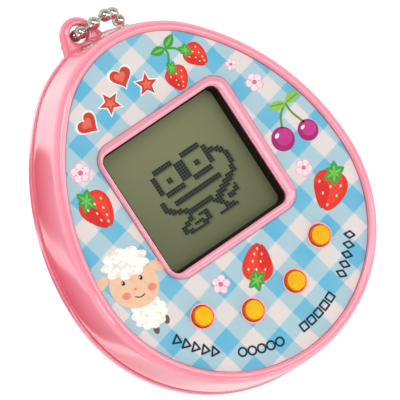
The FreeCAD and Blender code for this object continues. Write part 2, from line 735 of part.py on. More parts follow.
def battery_door():
    plate = rounded_plate("door_plate", "dims.door_wide", "dims.door_tall", "dims.door_corner",
                          "dims.door_foot", "dims.floor_top", y="-dims.door_low")
    screw_y = "-dims.door_screw_low"
    seat = "dims.door_sink_top"
    sink = cylinder("door_sink", "dims.head_radius + dims.screw_gap", "-1", seat, "0", screw_y)
    hole = cylinder("door_screw_hole", "dims.shank_radius + dims.screw_gap", "0", "dims.floor_top + 1",
                    "0", screw_y)
    grips = [block(f"door_grip_{k}", "dims.grip_wide", "dims.grip_deep", "-1", "dims.door_foot + 0.3", "0",
                   f"dims.grip_y + {k} * dims.grip_pitch") for k in range(3)]
    keep(cut("battery_door", plate, [sink, hole, *grips]), "battery_door")
    head = cylinder("door_screw_head", "dims.head_radius", "dims.door_foot + 0.05", seat, "0", screw_y)
    shank = cylinder("door_screw_shank", "dims.shank_radius", "dims.door_foot + 0.3",
                     "dims.door_boss_top - 1", "0", screw_y)
    slot = block("door_screw_slot", "dims.slot_long", "dims.slot_wide", "-1", "dims.door_foot + 0.4",
                 "0", screw_y)
    keep(cut("door_screw", fuse("door_screw_solid", [head, shank]), [slot]), "door_screw")


def sounder():
    ring = cylinder("sounder_outer", "dims.sounder_radius", "dims.floor_top", "dims.sounder_ring_top",
                    "0", "dims.sounder_y")
    bore = cylinder("sounder_bore", "dims.sounder_radius - dims.sounder_wall", "0",
                    "dims.sounder_ring_top + 1", "0", "dims.sounder_y")
    keep(cut("sounder_ring", ring, [bore]), "sounder_ring")
    keep(cylinder("sounder_disc", "dims.sounder_radius", "dims.sounder_ring_top",
                  "dims.sounder_ring_top + dims.sounder_thick", "0", "dims.sounder_y"), "sounder_disc")
    pin_foot = "dims.sounder_ring_top + dims.sounder_thick"
    pins = [
        cylinder(f"sounder_pin_{k}", "dims.sounder_pin_radius", pin_foot, "dims.board_under",
                 f"{side} * dims.sounder_pin_x", "dims.sounder_y")
        for k, side in enumerate((-1, 1))
    ]
    keep(group("sounder_pins", pins), "sounder_pins")


# ---- chain ------------------------------------------------------------------------------------------


def route_wire(points):
    """Straight runs joined by tangent arcs, each as large as its two runs allow. Prints the radii."""
    edges, at, radii = [], points[0], []
    for before, corner, after in zip(points, points[1:], points[2:]):
        back, onward = (before - corner).normalize(), (after - corner).normalize()
        shorter = min((before - corner).Length, (after - corner).Length)
        half_turn = (math.pi - back.getAngle(onward)) / 2
        reach = 0.45 * shorter
        radii.append(reach / math.tan(half_turn))
        start, end = corner + back * reach, corner + onward * reach
        inward = (back + onward).normalize()
        middle = corner + inward * (radii[-1] / math.cos(half_turn) - radii[-1])
        edges += [Part.LineSegment(at, start).toShape(), Part.Arc(start, middle, end).toShape()]
        at = end
    edges.append(Part.LineSegment(at, points[-1]).toShape())
    print("chain radii", [round(r, 1) for r in radii], "length", round(sum(e.Length for e in edges), 1))
    return Part.Wire(edges)


def bead_chain():
    bead, lift = size("bead"), size("window_y")
    points = [FreeCAD.Vector(x, y + lift, z) for x, y, z in CHAIN_ROUTE]
    path = route_wire(points)
    ring = Part.Circle(points[0], points[1] - points[0], bead / 2)
    tube = path.makePipeShell([Part.Wire(ring.toShape())], True, False)
    expected = math.pi * (bead / 2) ** 2 * path.Length
    if abs(tube.Volume / expected - 1) > 0.02:
        raise ValueError("the chain's tube has the wrong volume")
    item = doc.addObject("Part::Feature", "bead_chain")
    item.Shape = tube
    item.Placement = FreeCAD.Placement()
    keep(item, "bead_chain")


def chain_connector():
    """A folded sheet clasp, straight between the chain's two ends."""
    first, last = (FreeCAD.Vector(*CHAIN_ROUTE[k]) for k in (-1, 0))
    along = last - first
    body = doc.addObject("Part::Box", "connector_box")
    bind(body, {"Length": f"{along.Length:.3f} - 2 * dims.clasp_gap", "Height": "dims.bead",
                "Width": "dims.bead + dims.clasp_wrap"})
    turn = math.degrees(math.atan2(along.y, along.x))
    body.Placement.Rotation = FreeCAD.Rotation(FreeCAD.Vector(0, 0, 1), turn)
    sideways = FreeCAD.Vector(along.y, -along.x, 0).normalize()
    half_wide = (size("bead") + size("clasp_wrap")) / 2
    corner = first + sideways * half_wide + along.normalize() * size("clasp_gap")
    place(body, str(round(corner.x, 4)), str(round(corner.y, 4)), "0")
    keep(body, "chain_connector")


# ---- the whole --------------------------------------------------------------------------------------


def check_and_write():
    doc.recompute()
    for item in doc.Objects:
        if "Invalid" in item.State or "Error" in item.State:
            raise ValueError(f"{item.Name} failed: {item.State}")
    os.makedirs("parts", exist_ok=True)
    for name, item in parts.items():
        shape = item.Shape
        if shape.isNull() or not shape.isValid() or not shape.Solids:
            raise ValueError(f"{name} has no valid solid")
        shape.exportStep(f"parts/{name}.step")
        print(name, len(shape.Solids), round(shape.Volume, 2))


fill_sheet()
front_shell()
back_shell()
face_label()
screen_liner()
display_stack()
circuit_board()
board_parts()
screws()
buttons()
battery()
battery_door()
sounder()
bead_chain()
chain_connector()
check_and_write()
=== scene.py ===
"""Looks of an egg-shaped pocket electronic pet on a bead chain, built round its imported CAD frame.

Places are in millimetres from the middle of the raised screen frame, and at() turns them into the row
frame.
"""

import math

import bpy
import bmesh
from mathutils import Matrix, Vector


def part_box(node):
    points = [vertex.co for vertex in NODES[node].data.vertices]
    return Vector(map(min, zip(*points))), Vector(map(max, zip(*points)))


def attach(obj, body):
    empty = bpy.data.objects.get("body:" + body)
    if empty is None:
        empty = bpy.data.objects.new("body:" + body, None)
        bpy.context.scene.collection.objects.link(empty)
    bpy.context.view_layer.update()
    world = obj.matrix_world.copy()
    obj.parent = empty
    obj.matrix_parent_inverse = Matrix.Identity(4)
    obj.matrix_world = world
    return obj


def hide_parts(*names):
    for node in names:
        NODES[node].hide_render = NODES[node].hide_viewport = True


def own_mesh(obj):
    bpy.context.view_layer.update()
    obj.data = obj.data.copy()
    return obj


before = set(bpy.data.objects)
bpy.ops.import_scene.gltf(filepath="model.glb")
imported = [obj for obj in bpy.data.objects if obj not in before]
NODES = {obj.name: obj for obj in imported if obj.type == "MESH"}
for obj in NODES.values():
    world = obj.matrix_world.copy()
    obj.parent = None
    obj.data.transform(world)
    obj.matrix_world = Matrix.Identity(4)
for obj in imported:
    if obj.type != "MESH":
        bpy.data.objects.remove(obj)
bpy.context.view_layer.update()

MM = 0.001
WINDOW_Y = 1.55
LABEL_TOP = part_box("face_label")[1].z / MM
RING_STEPS = 288
KEYS = ("select", "confirm", "back", "reset")
# edges that turn more than this stay sharp
SHARP = math.radians(35)
# most of a noise's values lie between these
NOISE_LOW, NOISE_HIGH = 0.3, 0.7

# the label's egg: four tangent arcs, and every other outline is grown from it
EGG_LOW, EGG_HIGH = -8.3, 7.5
EGG_BOTTOM, EGG_SIDE, EGG_TOP = 22.9, 38.5, 16.3
EGG_SHIFT = EGG_SIDE - EGG_BOTTOM
EGG_TURN = math.atan2(EGG_HIGH - EGG_LOW, EGG_SHIFT)

# the raised frame's outline and the opening inside it: middle, half width, half height, corner
FRAME = (0.0, 12.45, 11.95, 3.0)
OPENING = (-0.67, 11.175, 10.7, 1.5)


def at(x, y, z):
    """A point in the row frame, from millimetres about the raised frame's middle."""
    return Vector((x, y + WINDOW_Y, z)) * MM


def turn(angle, length=1.0):
    return Vector((math.cos(angle), math.sin(angle))) * length


def heading(degrees, length=1.0):
    return turn(math.radians(degrees), length)


def around(steps):
    """Angles evenly round a turn."""
    return [math.tau * k / steps for k in range(steps)]


def circle(steps, radius=1.0):
    """Points evenly round a circle about the origin."""
    return [turn(angle, radius) for angle in around(steps)]


def lay(outline, z, centre=(0, 0)):
    """An outline in millimetres, moved to its centre and laid level at height z."""
    x, y = centre
    return [at(x + p.x, y + p.y, z) for p in outline]


# ---- mesh helpers ----


def new_object(name, data):
    made = bpy.data.objects.new(name, data)
    bpy.context.scene.collection.objects.link(made)
    return made


def soften(bm):
    """Smooth shading, with the sharp edges kept."""
    for face in bm.faces:
        face.smooth = True
    for edge in bm.edges:
        edge.smooth = len(edge.link_faces) == 2 and edge.calc_face_angle(0) < SHARP


def finish_mesh(bm, name):
    """A new object from a bmesh, shaded and with its faces turned outwards."""
    bmesh.ops.recalc_face_normals(bm, faces=bm.faces)
    soften(bm)
    mesh = bpy.data.meshes.new(name)
    bm.to_mesh(mesh)
    bm.free()
    return new_object(name, mesh)


def skin(bm, rings, closed=False):
    """Faces through rings of points. The last joins the first if closed, or else both are capped."""
    loops = [[bm.verts.new(p) for p in ring] for ring in rings]
    count = len(loops[0])
    pairs = list(zip(loops, loops[1:] + loops[:1] if closed else loops[1:]))
    for one, two in pairs:
        for k in range(count):
            after = (k + 1) % count
            bm.faces.new((one[k], one[after], two[after], two[k]))
    if not closed:
        bm.faces.new(loops[0])
        bm.faces.new(reversed(loops[-1]))


def solid(name, rings, closed=False):
    bm = bmesh.new()
    skin(bm, rings, closed)
    return finish_mesh(bm, name)


def boolean(base, other, operation):
    """Cut or join another closed mesh, which is used up."""
    modifier = base.modifiers.new("shape", "BOOLEAN")
    modifier.operation = operation
    modifier.solver = "EXACT"
    modifier.object = other
    graph = bpy.context.evaluated_depsgraph_get()
    mesh = bpy.data.meshes.new_from_object(base.evaluated_get(graph))
    base.modifiers.clear()
    base.data = mesh
    bpy.data.objects.remove(other)


def crease(made):
    """Clean a mesh after its booleans and shade it again."""
    bm = bmesh.new()
    bm.from_mesh(made.data)
    bmesh.ops.remove_doubles(bm, verts=bm.verts, dist=0.002 * MM)
    bmesh.ops.dissolve_degenerate(bm, edges=bm.edges, dist=0.001 * MM)
    soften(bm)
    bm.to_mesh(made.data)
    bm.free()


def drum(centre, radius, low, high, steps=64):
    """A closed round prism, for cutting and joining."""
    return solid("drum", [lay(circle(steps, radius), z, centre) for z in (low, high)])


def box_prism(centre, half_wide, half_tall, corner, low, high):
    """A closed prism over a rounded rectangle."""
    outline = [box_point(ray, half_wide, half_tall, corner) for ray in around(128)]
    return solid("prism", [lay(outline, z, centre) for z in (low, high)])


# ---- outlines ----


def egg_point(normal, grow):
    """The point of the grown egg whose outward normal stands at this angle."""
    if normal > math.pi:
        centre, radius = (0, EGG_LOW), EGG_BOTTOM
    elif normal < EGG_TURN:
        centre, radius = (-EGG_SHIFT, EGG_LOW), EGG_SIDE
    elif normal > math.pi - EGG_TURN:
        centre, radius = (EGG_SHIFT, EGG_LOW), EGG_SIDE
    else:
        centre, radius = (0, EGG_HIGH), EGG_TOP
    return Vector(centre) + turn(normal, radius + grow)


def egg_ring(grow, z):
    return lay([egg_point(normal, grow) for normal in around(RING_STEPS)], z)


def box_point(ray, half_wide, half_tall, corner):
    """Where a ray from the centre leaves a rounded rectangle."""
    way = turn(ray)
    reach = min(half_wide / max(abs(way.x), 1e-9), half_tall / max(abs(way.y), 1e-9))
    hit = way * reach
    inner = Vector((half_wide - corner, half_tall - corner))
    if abs(hit.x) > inner.x and abs(hit.y) > inner.y:
        middle = Vector((math.copysign(inner.x, way.x), math.copysign(inner.y, way.y)))
        along = way.dot(middle)
        hit = way * (along + math.sqrt(max(corner**2 - middle.length_squared + along**2, 0)))
    return hit


def frame_ring(share, z):
    """An outline between the opening (share 0) and the frame's edge (1), a point for each of the egg's."""
    middle, half_wide, half_tall, corner = (i + (o - i) * share for i, o in zip(OPENING, FRAME))
    outline = []
    for normal in around(RING_STEPS):
        outer = egg_point(normal, 0)
        outline.append(box_point(math.atan2(outer.y, outer.x), half_wide, half_tall, corner))
    return lay(outline, z, (middle, 0))


# ---- shader helpers ----


class Shader:
    """A node tree, with short calls for the nodes that these looks use."""

    def __init__(self, tree, coordinates):
        self.nodes = tree.nodes
        self.links = tree.links
        self.place = self.nodes.new("ShaderNodeTexCoord").outputs[coordinates]

    def put(self, node, slot, value):
        """A socket takes another node's output, or a constant."""
        if isinstance(value, bpy.types.NodeSocket):
            self.links.new(value, node.inputs[slot])
        else:
            node.inputs[slot].default_value = value

    def noise(self, size_mm, detail=3, stretch=(1, 1, 1)):
        """Noise whose blobs are about size_mm across."""
        mapping = self.nodes.new("ShaderNodeMapping")
        self.links.new(self.place, mapping.inputs[0])
        mapping.inputs["Scale"].default_value = stretch
        node = self.nodes.new("ShaderNodeTexNoise")
        self.links.new(mapping.outputs[0], node.inputs["Vector"])
        node.inputs["Scale"].default_value = 1 / (size_mm * MM)
        node.inputs["Detail"].default_value = detail
        return node.outputs["Fac"]

    def math(self, operation, first, second=0.0):
        node = self.nodes.new("ShaderNodeMath")
        node.operation = operation
        self.put(node, 0, first)
        self.put(node, 1, second)
        return node.outputs[0]

    def remap(self, value, low, high, to_low=0.0, to_high=1.0, smooth=False):
        node = self.nodes.new("ShaderNodeMapRange")
        node.interpolation_type = "SMOOTHSTEP" if smooth else "LINEAR"
        for slot, entry in enumerate((value, low, high, to_low, to_high)):
            self.put(node, slot, entry)
        return node.outputs[0]

    def ramp(self, value, stops):
        node = self.nodes.new("ShaderNodeValToRGB")
        self.links.new(value, node.inputs[0])
        ramp = node.color_ramp
        while len(ramp.elements) < len(stops):
            ramp.elements.new(0.5)
        for element, (position, colour) in zip(ramp.elements, stops):
            element.position = position
            element.color = colour
        return node.outputs[0]

    def spread(self, noise, low, high):
        """A noise's usual range, spread over low to high."""
        return self.remap(noise, NOISE_LOW, NOISE_HIGH, low, high)

    def blend(self, noise, one, two):
        """From one colour to another over a noise's usual range."""
        return self.ramp(noise, [(NOISE_LOW, one), (NOISE_HIGH, two)])

    def mix(self, share, one, two):
        node = self.nodes.new("ShaderNodeMix")
        node.data_type = "RGBA"
        self.put(node, 0, share)
        self.put(node, 6, one)
        self.put(node, 7, two)
        return node.outputs[2]

    def axis(self, which):
        node = self.nodes.new("ShaderNodeSeparateXYZ")
        self.links.new(self.place, node.inputs[0])
        return node.outputs["XYZ".index(which)]

    def distance(self, x, y):
        """How far, seen from above, a place is from an upright axis through x, y."""
        reach_x = self.math("SUBTRACT", self.axis("X"), x)
        reach_y = self.math("SUBTRACT", self.axis("Y"), y)
        squared = self.math("ADD", self.math("POWER", reach_x, 2), self.math("POWER", reach_y, 2))
        return self.math("SQRT", squared)


class Paint(Shader):
    """A material: a Principled surface over the short node calls."""

    def __init__(self, name):
        self.material = bpy.data.materials.new(name)
        self.material.use_nodes = True
        tree = self.material.node_tree
        tree.nodes.clear()
        super().__init__(tree, "Object")
        self.surface = self.nodes.new("ShaderNodeBsdfPrincipled")
        output = self.nodes.new("ShaderNodeOutputMaterial")
        self.links.new(self.surface.outputs[0], output.inputs[0])

    def set(self, **values):
        for name, value in values.items():
            self.surface.inputs[name.replace("_", " ")].default_value = value
        return self

    def colour(self, source):
        self.links.new(source, self.surface.inputs["Base Color"])

    def gloss(self, noise, low, high):
        """Roughness from low to high over a noise's usual range."""
        self.links.new(self.spread(noise, low, high), self.surface.inputs["Roughness"])

    def bump(self, height, depth_mm, strength=1.0):
        node = self.nodes.new("ShaderNodeBump")
        node.inputs["Strength"].default_value = strength
        node.inputs["Distance"].default_value = depth_mm * MM
        self.links.new(height, node.inputs["Height"])
        self.links.new(node.outputs[0], self.surface.inputs["Normal"])


def rgb(red, green, blue):
    """A display colour, 0 to 255, as the linear colour that shaders take."""
    linear = []
    for part in (red, green, blue):
        share = part / 255
        linear.append(share / 12.92 if share <= 0.04045 else ((share + 0.055) / 1.055) ** 2.4)
    return (*linear, 1.0)


def shade(colour, factor):
    return (*[min(c * factor, 1.0) for c in colour[:3]], 1.0)


def grey(level):
    return (level, level, level, 1)


def plain_look(name, colour, rough, grain_mm=0.4, vary=0.06, bump_mm=0.004, **values):
    """A moulded, plated or printed finish: its colour, gloss and surface vary a little."""
    paint = Paint(name).set(**values)
    grain = paint.noise(grain_mm)
    cloud = paint.noise(grain_mm * 22, detail=2)
    blotch = paint.math("MULTIPLY", paint.math("ADD", grain, cloud), 0.5)
    tone = paint.blend(blotch, shade(colour, 1 - vary), shade(colour, 1 + vary))
    paint.colour(tone)
    paint.gloss(cloud, rough * 0.85, rough * 1.2)
    paint.bump(grain, bump_mm)
    return paint.material


def dress(made, material):
    made.data.materials.clear()
    made.data.materials.append(material)


def settle(made, material):
    """Give a new piece its material. All of them ride on the casing."""
    dress(made, material)
    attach(made, "casing")


# ---- materials ----


def pink_look(name, deep):
    """Glossy pink shell plastic, with painted shade and light: the front shell's flank is painted deeper
    near the seam and paler towards the face, and the screen frame is painted paler.
    """
    # the first colour is the lit end of the flank's painted shade, the second the screen frame's painted
    # lighter pink
    light, lit_frame_pink = rgb(254, 148, 166), rgb(244, 158, 176)
    low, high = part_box("front_shell")
    frame_reach, rim_reach = 17.6 * MM, 19.0 * MM
    paint = Paint(name).set(Specular_IOR_Level=0.5, Coat_Weight=0.8, Coat_Roughness=0.03)
    paint.set(Subsurface_Weight=0.12, Subsurface_Scale=0.0015)
    paint.surface.inputs["Subsurface Radius"].default_value = (1.0, 0.35, 0.35)
    cloud = paint.noise(9, detail=2)
    grain = paint.noise(0.35, detail=4)
    flow = paint.noise(14, detail=1, stretch=(1, 1, 0.3))
    # painted shade: the front shell's flank darkens from near the face down to the seam
    rise = paint.remap(paint.axis("Z"), low.z + 1.0 * MM, high.z - 1.5 * MM, smooth=True)
    outside = paint.remap(paint.distance(0, WINDOW_Y * MM), frame_reach, rim_reach, smooth=True)
    # random marbling laid over the painted shade
    marbled_shading = paint.math("ADD", rise, paint.spread(cloud, -0.08, 0.08))
    # painted light: a paler pink on the screen frame
    lit_frame_tone = paint.blend(cloud, shade(lit_frame_pink, 0.96), shade(lit_frame_pink, 1.03))
    paint.colour(paint.mix(outside, lit_frame_tone, paint.mix(marbled_shading, deep, light)))
    paint.gloss(flow, 0.10, 0.16)
    paint.bump(paint.math("ADD", paint.math("MULTIPLY", grain, 0.15), flow), 0.02, 0.35)
    return paint.material


def gingham_look():
    """Printed gingham: two crossed sets of stripes, woven-looking edges, under a satin film."""
    period, tilt = 6.115, math.radians(13.1)
    square = at(7.43, -19.12, 0)
    paint = Paint("gingham_label").set(Specular_IOR_Level=0.18)
    mapping = paint.nodes.new("ShaderNodeMapping")
    mapping.vector_type = "TEXTURE"
    paint.links.new(paint.place, mapping.inputs[0])
    mapping.inputs["Location"].default_value = square
    mapping.inputs["Rotation"].default_value = (0, 0, tilt)
    split = paint.nodes.new("ShaderNodeSeparateXYZ")
    paint.links.new(mapping.outputs[0], split.inputs[0])
    wobble = paint.math("MULTIPLY", paint.math("SUBTRACT", paint.noise(0.5, detail=4), 0.5), 0.35)
    stripes = []
    for way in "XY":
        phase = paint.math("MULTIPLY", split.outputs[way], math.tau / (period * MM))
        wave = paint.math("ADD", paint.math("COSINE", phase), wobble)
        stripes.append(paint.remap(wave, -0.16, 0.16, smooth=True))
    both = paint.math("MULTIPLY", paint.math("ADD", *stripes), 0.5)
    cream, mid, deep = rgb(231, 219, 213), rgb(168, 202, 212), rgb(84, 180, 214)
    printed = paint.ramp(both, [(0.0, cream), (0.5, mid), (1.0, deep)])
    fade = paint.spread(paint.noise(5, detail=3), 0.0, 0.16)
    faded = paint.mix(fade, printed, rgb(200, 214, 218))
    speck = paint.remap(paint.noise(0.16, detail=2), 0.35, 0.65, 0.0, 0.10)
    paint.colour(paint.mix(speck, faded, rgb(150, 170, 182)))
    paint.gloss(paint.noise(2.5), 0.34, 0.46)
    paint.bump(paint.noise(0.3), 0.006, 0.5)
    return paint.material


def ink_look(name, colour, edge):
    """Screen-printed ink: mottled down to the edge share of its colour, with fine grain."""
    rough = 0.36
    paint = Paint(name).set(Specular_IOR_Level=0.15)
    mottle = paint.noise(0.9, detail=4)
    paint.colour(paint.ramp(mottle, [(0.32, shade(colour, edge)), (0.68, shade(colour, 1.05))]))
    paint.gloss(mottle, rough, rough * 1.25)
    paint.bump(paint.noise(0.2), 0.004, 0.5)
    return paint.material


def wool_look():
    paint = Paint("ink_wool").set(Roughness=0.5)
    curl = paint.noise(0.7, detail=3)
    cream, shadow = rgb(250, 246, 236), rgb(230, 222, 206)
    paint.colour(paint.ramp(curl, [(0.36, shadow), (0.5, cream), (0.7, rgb(255, 252, 244))]))
    paint.bump(curl, 0.02, 0.5)
    return paint.material


def screen_look():
    """The polariser: cloudy olive grey, with painted light making it lighter towards its top."""
    paint = Paint("lcd_screen").set(Specular_IOR_Level=0.12)
    low, high = (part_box("lcd_polariser")[k].y for k in (0, 1))
    # painted light: darker at the screen's foot and lighter at its top
    height = paint.remap(paint.axis("Y"), low, high)
    foot, middle, head = rgb(108, 112, 80), rgb(118, 122, 88), rgb(132, 134, 98)
    olive = paint.ramp(height, [(0.0, foot), (0.45, middle), (1.0, head)])
    cloud = paint.spread(paint.noise(6, detail=2), 0.0, 0.10)
    paint.colour(paint.mix(cloud, olive, rgb(96, 100, 74)))
    paint.gloss(paint.noise(0.25), 0.4, 0.52)
    paint.bump(paint.noise(0.12), 0.003, 0.4)
    return paint.material


def pixel_look():
    fine = {"grain_mm": 0.1, "vary": 0.12, "bump_mm": 0.001}
    return plain_look("lcd_ink", rgb(36, 44, 42), 0.5, Specular_IOR_Level=0.1, **fine)


def pixel_shadow_look():
    """The soft shadow that lit segments throw on the reflector behind them."""
    paint = Paint("lcd_shadow").set(Roughness=0.6, Alpha=0.3)
    cloud = paint.noise(0.3)
    paint.colour(paint.blend(cloud, rgb(66, 70, 52), rgb(80, 84, 62)))
    return paint.material


def button_look(key):
    """A yellow key cap, with painted shade darkening its rounded edge and sides."""
    low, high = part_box("button_" + key)
    centre = (low + high) / 2
    paint = Paint("cap_" + key).set(Specular_IOR_Level=0.09)
    top_reach, side_reach = 1.34 * MM, 1.56 * MM
    # painted shade: the cap darkens from the rim of its top down its sides
    edge = paint.remap(paint.distance(centre.x, centre.y), top_reach, side_reach, smooth=True)
    cloud = paint.noise(1.4, detail=3)
    yellow = paint.blend(cloud, rgb(236, 174, 0), rgb(247, 194, 6))
    shaded_orange = paint.blend(cloud, rgb(216, 76, 12), rgb(238, 110, 28))
    paint.colour(paint.mix(edge, yellow, shaded_orange))
    paint.gloss(cloud, 0.22, 0.34)
    paint.bump(paint.noise(0.25), 0.006, 0.5)
    return paint.material


def plated_look(name, colour, rough, scratch=0.05):
    """Plated or rolled metal with fine scratches."""
    paint = Paint(name).set(Metallic=1.0)
    tarnish = paint.noise(1.2, detail=4)
    lines = paint.noise(0.15, detail=3, stretch=(0.15, 1, 1))
    paint.colour(paint.blend(tarnish, shade(colour, 0.82), shade(colour, 1.06)))
    paint.gloss(tarnish, rough * 0.7, rough * 1.5)
    paint.bump(lines, 0.01, scratch)
    return paint.material


def board_look():
    """Green solder mask with lighter tracks and gold pads."""
    paint = Paint("circuit_board").set(Coat_Weight=0.3, Coat_Roughness=0.15)
    brick = paint.nodes.new("ShaderNodeTexBrick")
    paint.links.new(paint.place, brick.inputs["Vector"])
    mask, other_mask, track = rgb(16, 84, 44), rgb(20, 94, 50), rgb(50, 136, 76)
    tracks = {"Scale": 1 / (3.0 * MM), "Mortar Size": 0.06, "Mortar": track}
    for name, value in {**tracks, "Color1": mask, "Color2": other_mask}.items():
        brick.inputs[name].default_value = value
    spots = paint.remap(paint.noise(1.6, detail=1), 0.66, 0.68)
    paint.colour(paint.mix(spots, brick.outputs[0], rgb(206, 170, 92)))
    paint.gloss(paint.noise(2), 0.3, 0.45)
    paint.bump(brick.outputs["Fac"], 0.02, 0.5)
    return paint.material


def glass_look():
    paint = Paint("lcd_glass").set(IOR=1.5, Transmission_Weight=0.9)
    cloud = paint.noise(8)
    paint.colour(paint.blend(cloud, rgb(196, 206, 190), rgb(206, 214, 200)))
    paint.gloss(cloud, 0.02, 0.06)
    return paint.material


def contact_strip_look():
    """Zebra strip: thin black and translucent layers along its length."""
    paint = Paint("zebra_strip").set(Roughness=0.7)
    pitch = 0.4 * MM
    phase = paint.math("SINE", paint.math("MULTIPLY", paint.axis("X"), math.tau / pitch))
    layers = paint.remap(phase, -1, 1)
    paint.colour(paint.ramp(layers, [(0.45, rgb(30, 30, 32)), (0.55, rgb(206, 198, 190))]))
    paint.bump(paint.noise(0.3), 0.01)
    return paint.material


def dress_frame():
    """Every CAD node gets the finish of its own part."""
    steel = plated_look("zinc_steel", rgb(196, 198, 204), 0.28, 0.4)
    nickel = plated_look("nickel_plate", rgb(206, 198, 190), 0.1)
    # in front_pink the second colour is the painted shade at the front shell's seam; the back shell lies
    # below the shaded band and shows its second colour as its own
    front_pink = pink_look("front_pink", rgb(249, 104, 126))
    back_pink = pink_look("back_pink", rgb(252, 134, 154))
    # painted shade: the liner is near-black to stand in for the dark gap between the screen frame and the
    # recessed screen
    liner = plain_look("painted_shade_liner", rgb(26, 8, 10), 0.55, bump_mm=0.008, Specular_IOR_Level=0.15)
    looks = {
        "face_label": gingham_look(),
        "screen_liner": liner,
        "lcd_polariser": screen_look(),
        "lcd_glass": glass_look(),
        "lcd_reflector": plated_look("reflector_foil", rgb(190, 194, 176), 0.45, 0.3),
        "lcd_holder": plain_look("white_holder", rgb(226, 224, 214), 0.5),
        "contact_strip": contact_strip_look(),
        "circuit_board": board_look(),
        "chip_blob": plain_look("potting", rgb(24, 22, 24), 0.25, grain_mm=1.0, bump_mm=0.02),
        "board_chips": plain_look("chip_ceramic", rgb(112, 84, 58), 0.6, grain_mm=0.2),
        "sounder_ring": plain_look("black_ring", rgb(26, 26, 28), 0.5),
        "sounder_disc": plated_look("brass_disc", rgb(206, 172, 96), 0.3, 0.3),
        "battery_door": back_pink,
        "front_shell": front_pink,
        "back_shell": back_pink,
    }
    screws = ("case_screws", "board_screws", "door_screw")
    fittings = ("quartz_crystal", "positive_contact", "negative_leaf", "sounder_pins")
    looks |= dict.fromkeys(screws + fittings, steel)
    looks |= dict.fromkeys(("button_cell", "chain_connector", "bead_chain"), nickel)
    soft = {"Subsurface_Weight": 0.1, "Subsurface_Scale": 0.001}
    dome = plain_look("silicone_dome", rgb(214, 208, 202), 0.6, **soft)
    for key in KEYS:
        looks["button_" + key] = button_look(key)
        looks["key_dome_" + key] = dome
    for name, look in looks.items():
        dress(NODES[name], look)
    return front_pink, back_pink, nickel, dome


# ---- key domes ----

# inner crown, inner foot, outer foot and up to the outer crown: shares of the foot's radius and the height
DOME_PROFILE = (
    (0.345, 0.76), (0.79, 0.0), (1.0, 0.0), (0.93, 0.14),
    (0.8, 0.42), (0.68, 0.7), (0.585, 0.92), (0.54, 1.0),
)


def key_domes(rubber):
    """Hollow rubber domes, one for each key."""
    for key in KEYS:
        low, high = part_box("key_dome_" + key)
        foot = Vector(((low.x + high.x) / 2, (low.y + high.y) / 2, low.z))
        radius, tall = (high.x - low.x) / 2, high.z - low.z
        rings = []
        for out, up in DOME_PROFILE:
            rings.append([foot + Vector((p.x, p.y, up * tall)) for p in circle(48, out * radius)])
        dome = solid("dome_" + key, rings)
        settle(dome, rubber)
        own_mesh(dome)
        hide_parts("key_dome_" + key)


# ---- shells ----


# radii of a key's hole through the deck and of the collar round it
KEY_HOLE, KEY_COLLAR = 1.8, 2.02


def front_shell(pink):
    """Rim, flank, deck and screen frame as one closed skin, with the four key holes cut through the deck."""
    flank = [
        (0.6, 6.75), (2.1, 6.72), (2.25, 6.76), (2.33, 6.86), (2.36, 7.1), (2.34, 8.5), (2.25, 10.0),
        (2.12, 11.5), (1.98, 13.0), (1.83, 14.3), (1.70, 15.3), (1.56, 16.05), (1.36, 16.55), (1.08, 16.87),
        (0.75, 17.0), (0.42, 17.0), (0.2, 16.93), (0.07, 16.8), (0.02, 16.6), (0.0, 16.35), (0.0, 16.15),
    ]
    bezel = [
        (1.0, 16.15), (1.0, 16.45), (0.96, 16.75), (0.87, 16.98), (0.73, 17.14), (0.55, 17.25),
        (0.35, 17.3), (0.16, 17.28), (0.03, 17.2), (-0.04, 17.08), (-0.06, 16.95), (-0.04, 16.84),
        (0.0, 16.8), (0.0, 14.95),
    ]
    rings = [egg_ring(grow, z) for grow, z in flank]
    rings += [frame_ring(share, z) for share, z in bezel]
    rings.append(egg_ring(0.55, 14.95))
    shell = solid("front_shell_skin", rings, closed=True)
    for key in KEYS:
        low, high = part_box("button_" + key)
        middle = ((low + high) / 2 / MM - Vector((0, WINDOW_Y, 0))).to_2d()
        boolean(shell, drum(middle, KEY_COLLAR, 15.6, LABEL_TOP + 0.05), "UNION")
        boolean(shell, drum(middle, KEY_HOLE, 14.0, 17.0), "DIFFERENCE")
    crease(shell)
    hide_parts("front_shell")
    settle(shell, pink)


LUG = (0.0, 27.9)
LUG_RADIUS, LUG_HOLE, LUG_LOW, LUG_TOP = 2.8, 1.42, 3.9, 6.4
LUG_FLARE, LUG_ROOT = math.radians(20), 4.4


def lug_point(ray, inset):
    """The lug's outline: a round eye whose flared root ends inside the shell."""
    radius = LUG_RADIUS - inset
    if LUG_FLARE <= ray <= math.pi - LUG_FLARE:
        return turn(ray, radius)
    facing = (math.cos(ray - LUG_FLARE), math.cos(ray - math.pi + LUG_FLARE))
    reaches = [radius / c for c in facing if c > 1e-3]
    if math.sin(ray) < 0:
        reaches.append(-LUG_ROOT / math.sin(ray))
    return turn(ray, min(reaches))


def lug():
    """A puffed eye: both its edge and its hole are well rounded."""
    steps, fillet, lip = 72, 1.1, 0.55
    middle, half = (LUG_LOW + LUG_TOP) / 2, (LUG_TOP - LUG_LOW) / 2
    rings = []
    for k in range(9):
        angle = math.pi * (k / 8 - 0.5)
        z = middle + (half - fillet) * math.copysign(1, angle + 1e-9) + fillet * math.sin(angle)
        inset = fillet * (1 - math.cos(angle))
        rings.append(lay([lug_point(ray, inset) for ray in around(steps)], z, LUG))
    for k in range(7):
        angle = math.pi * (k / 6 - 0.5)
        z = middle - (half - lip) * math.copysign(1, angle - 1e-9) - lip * math.sin(angle)
        rings.append(lay(circle(steps, LUG_HOLE + lip * (1 - math.cos(angle))), z, LUG))
    return solid("lug", rings, closed=True)


SCREW_PLACES = ((-17.0, 2.0), (17.0, 2.0), (0.0, -26.6), (0.0, 18.2))
CELL_PLACE, DOOR_PLACE, SOUNDER_PLACE = (0.0, -5.2), (0.0, -8.0), (0.0, 7.5)


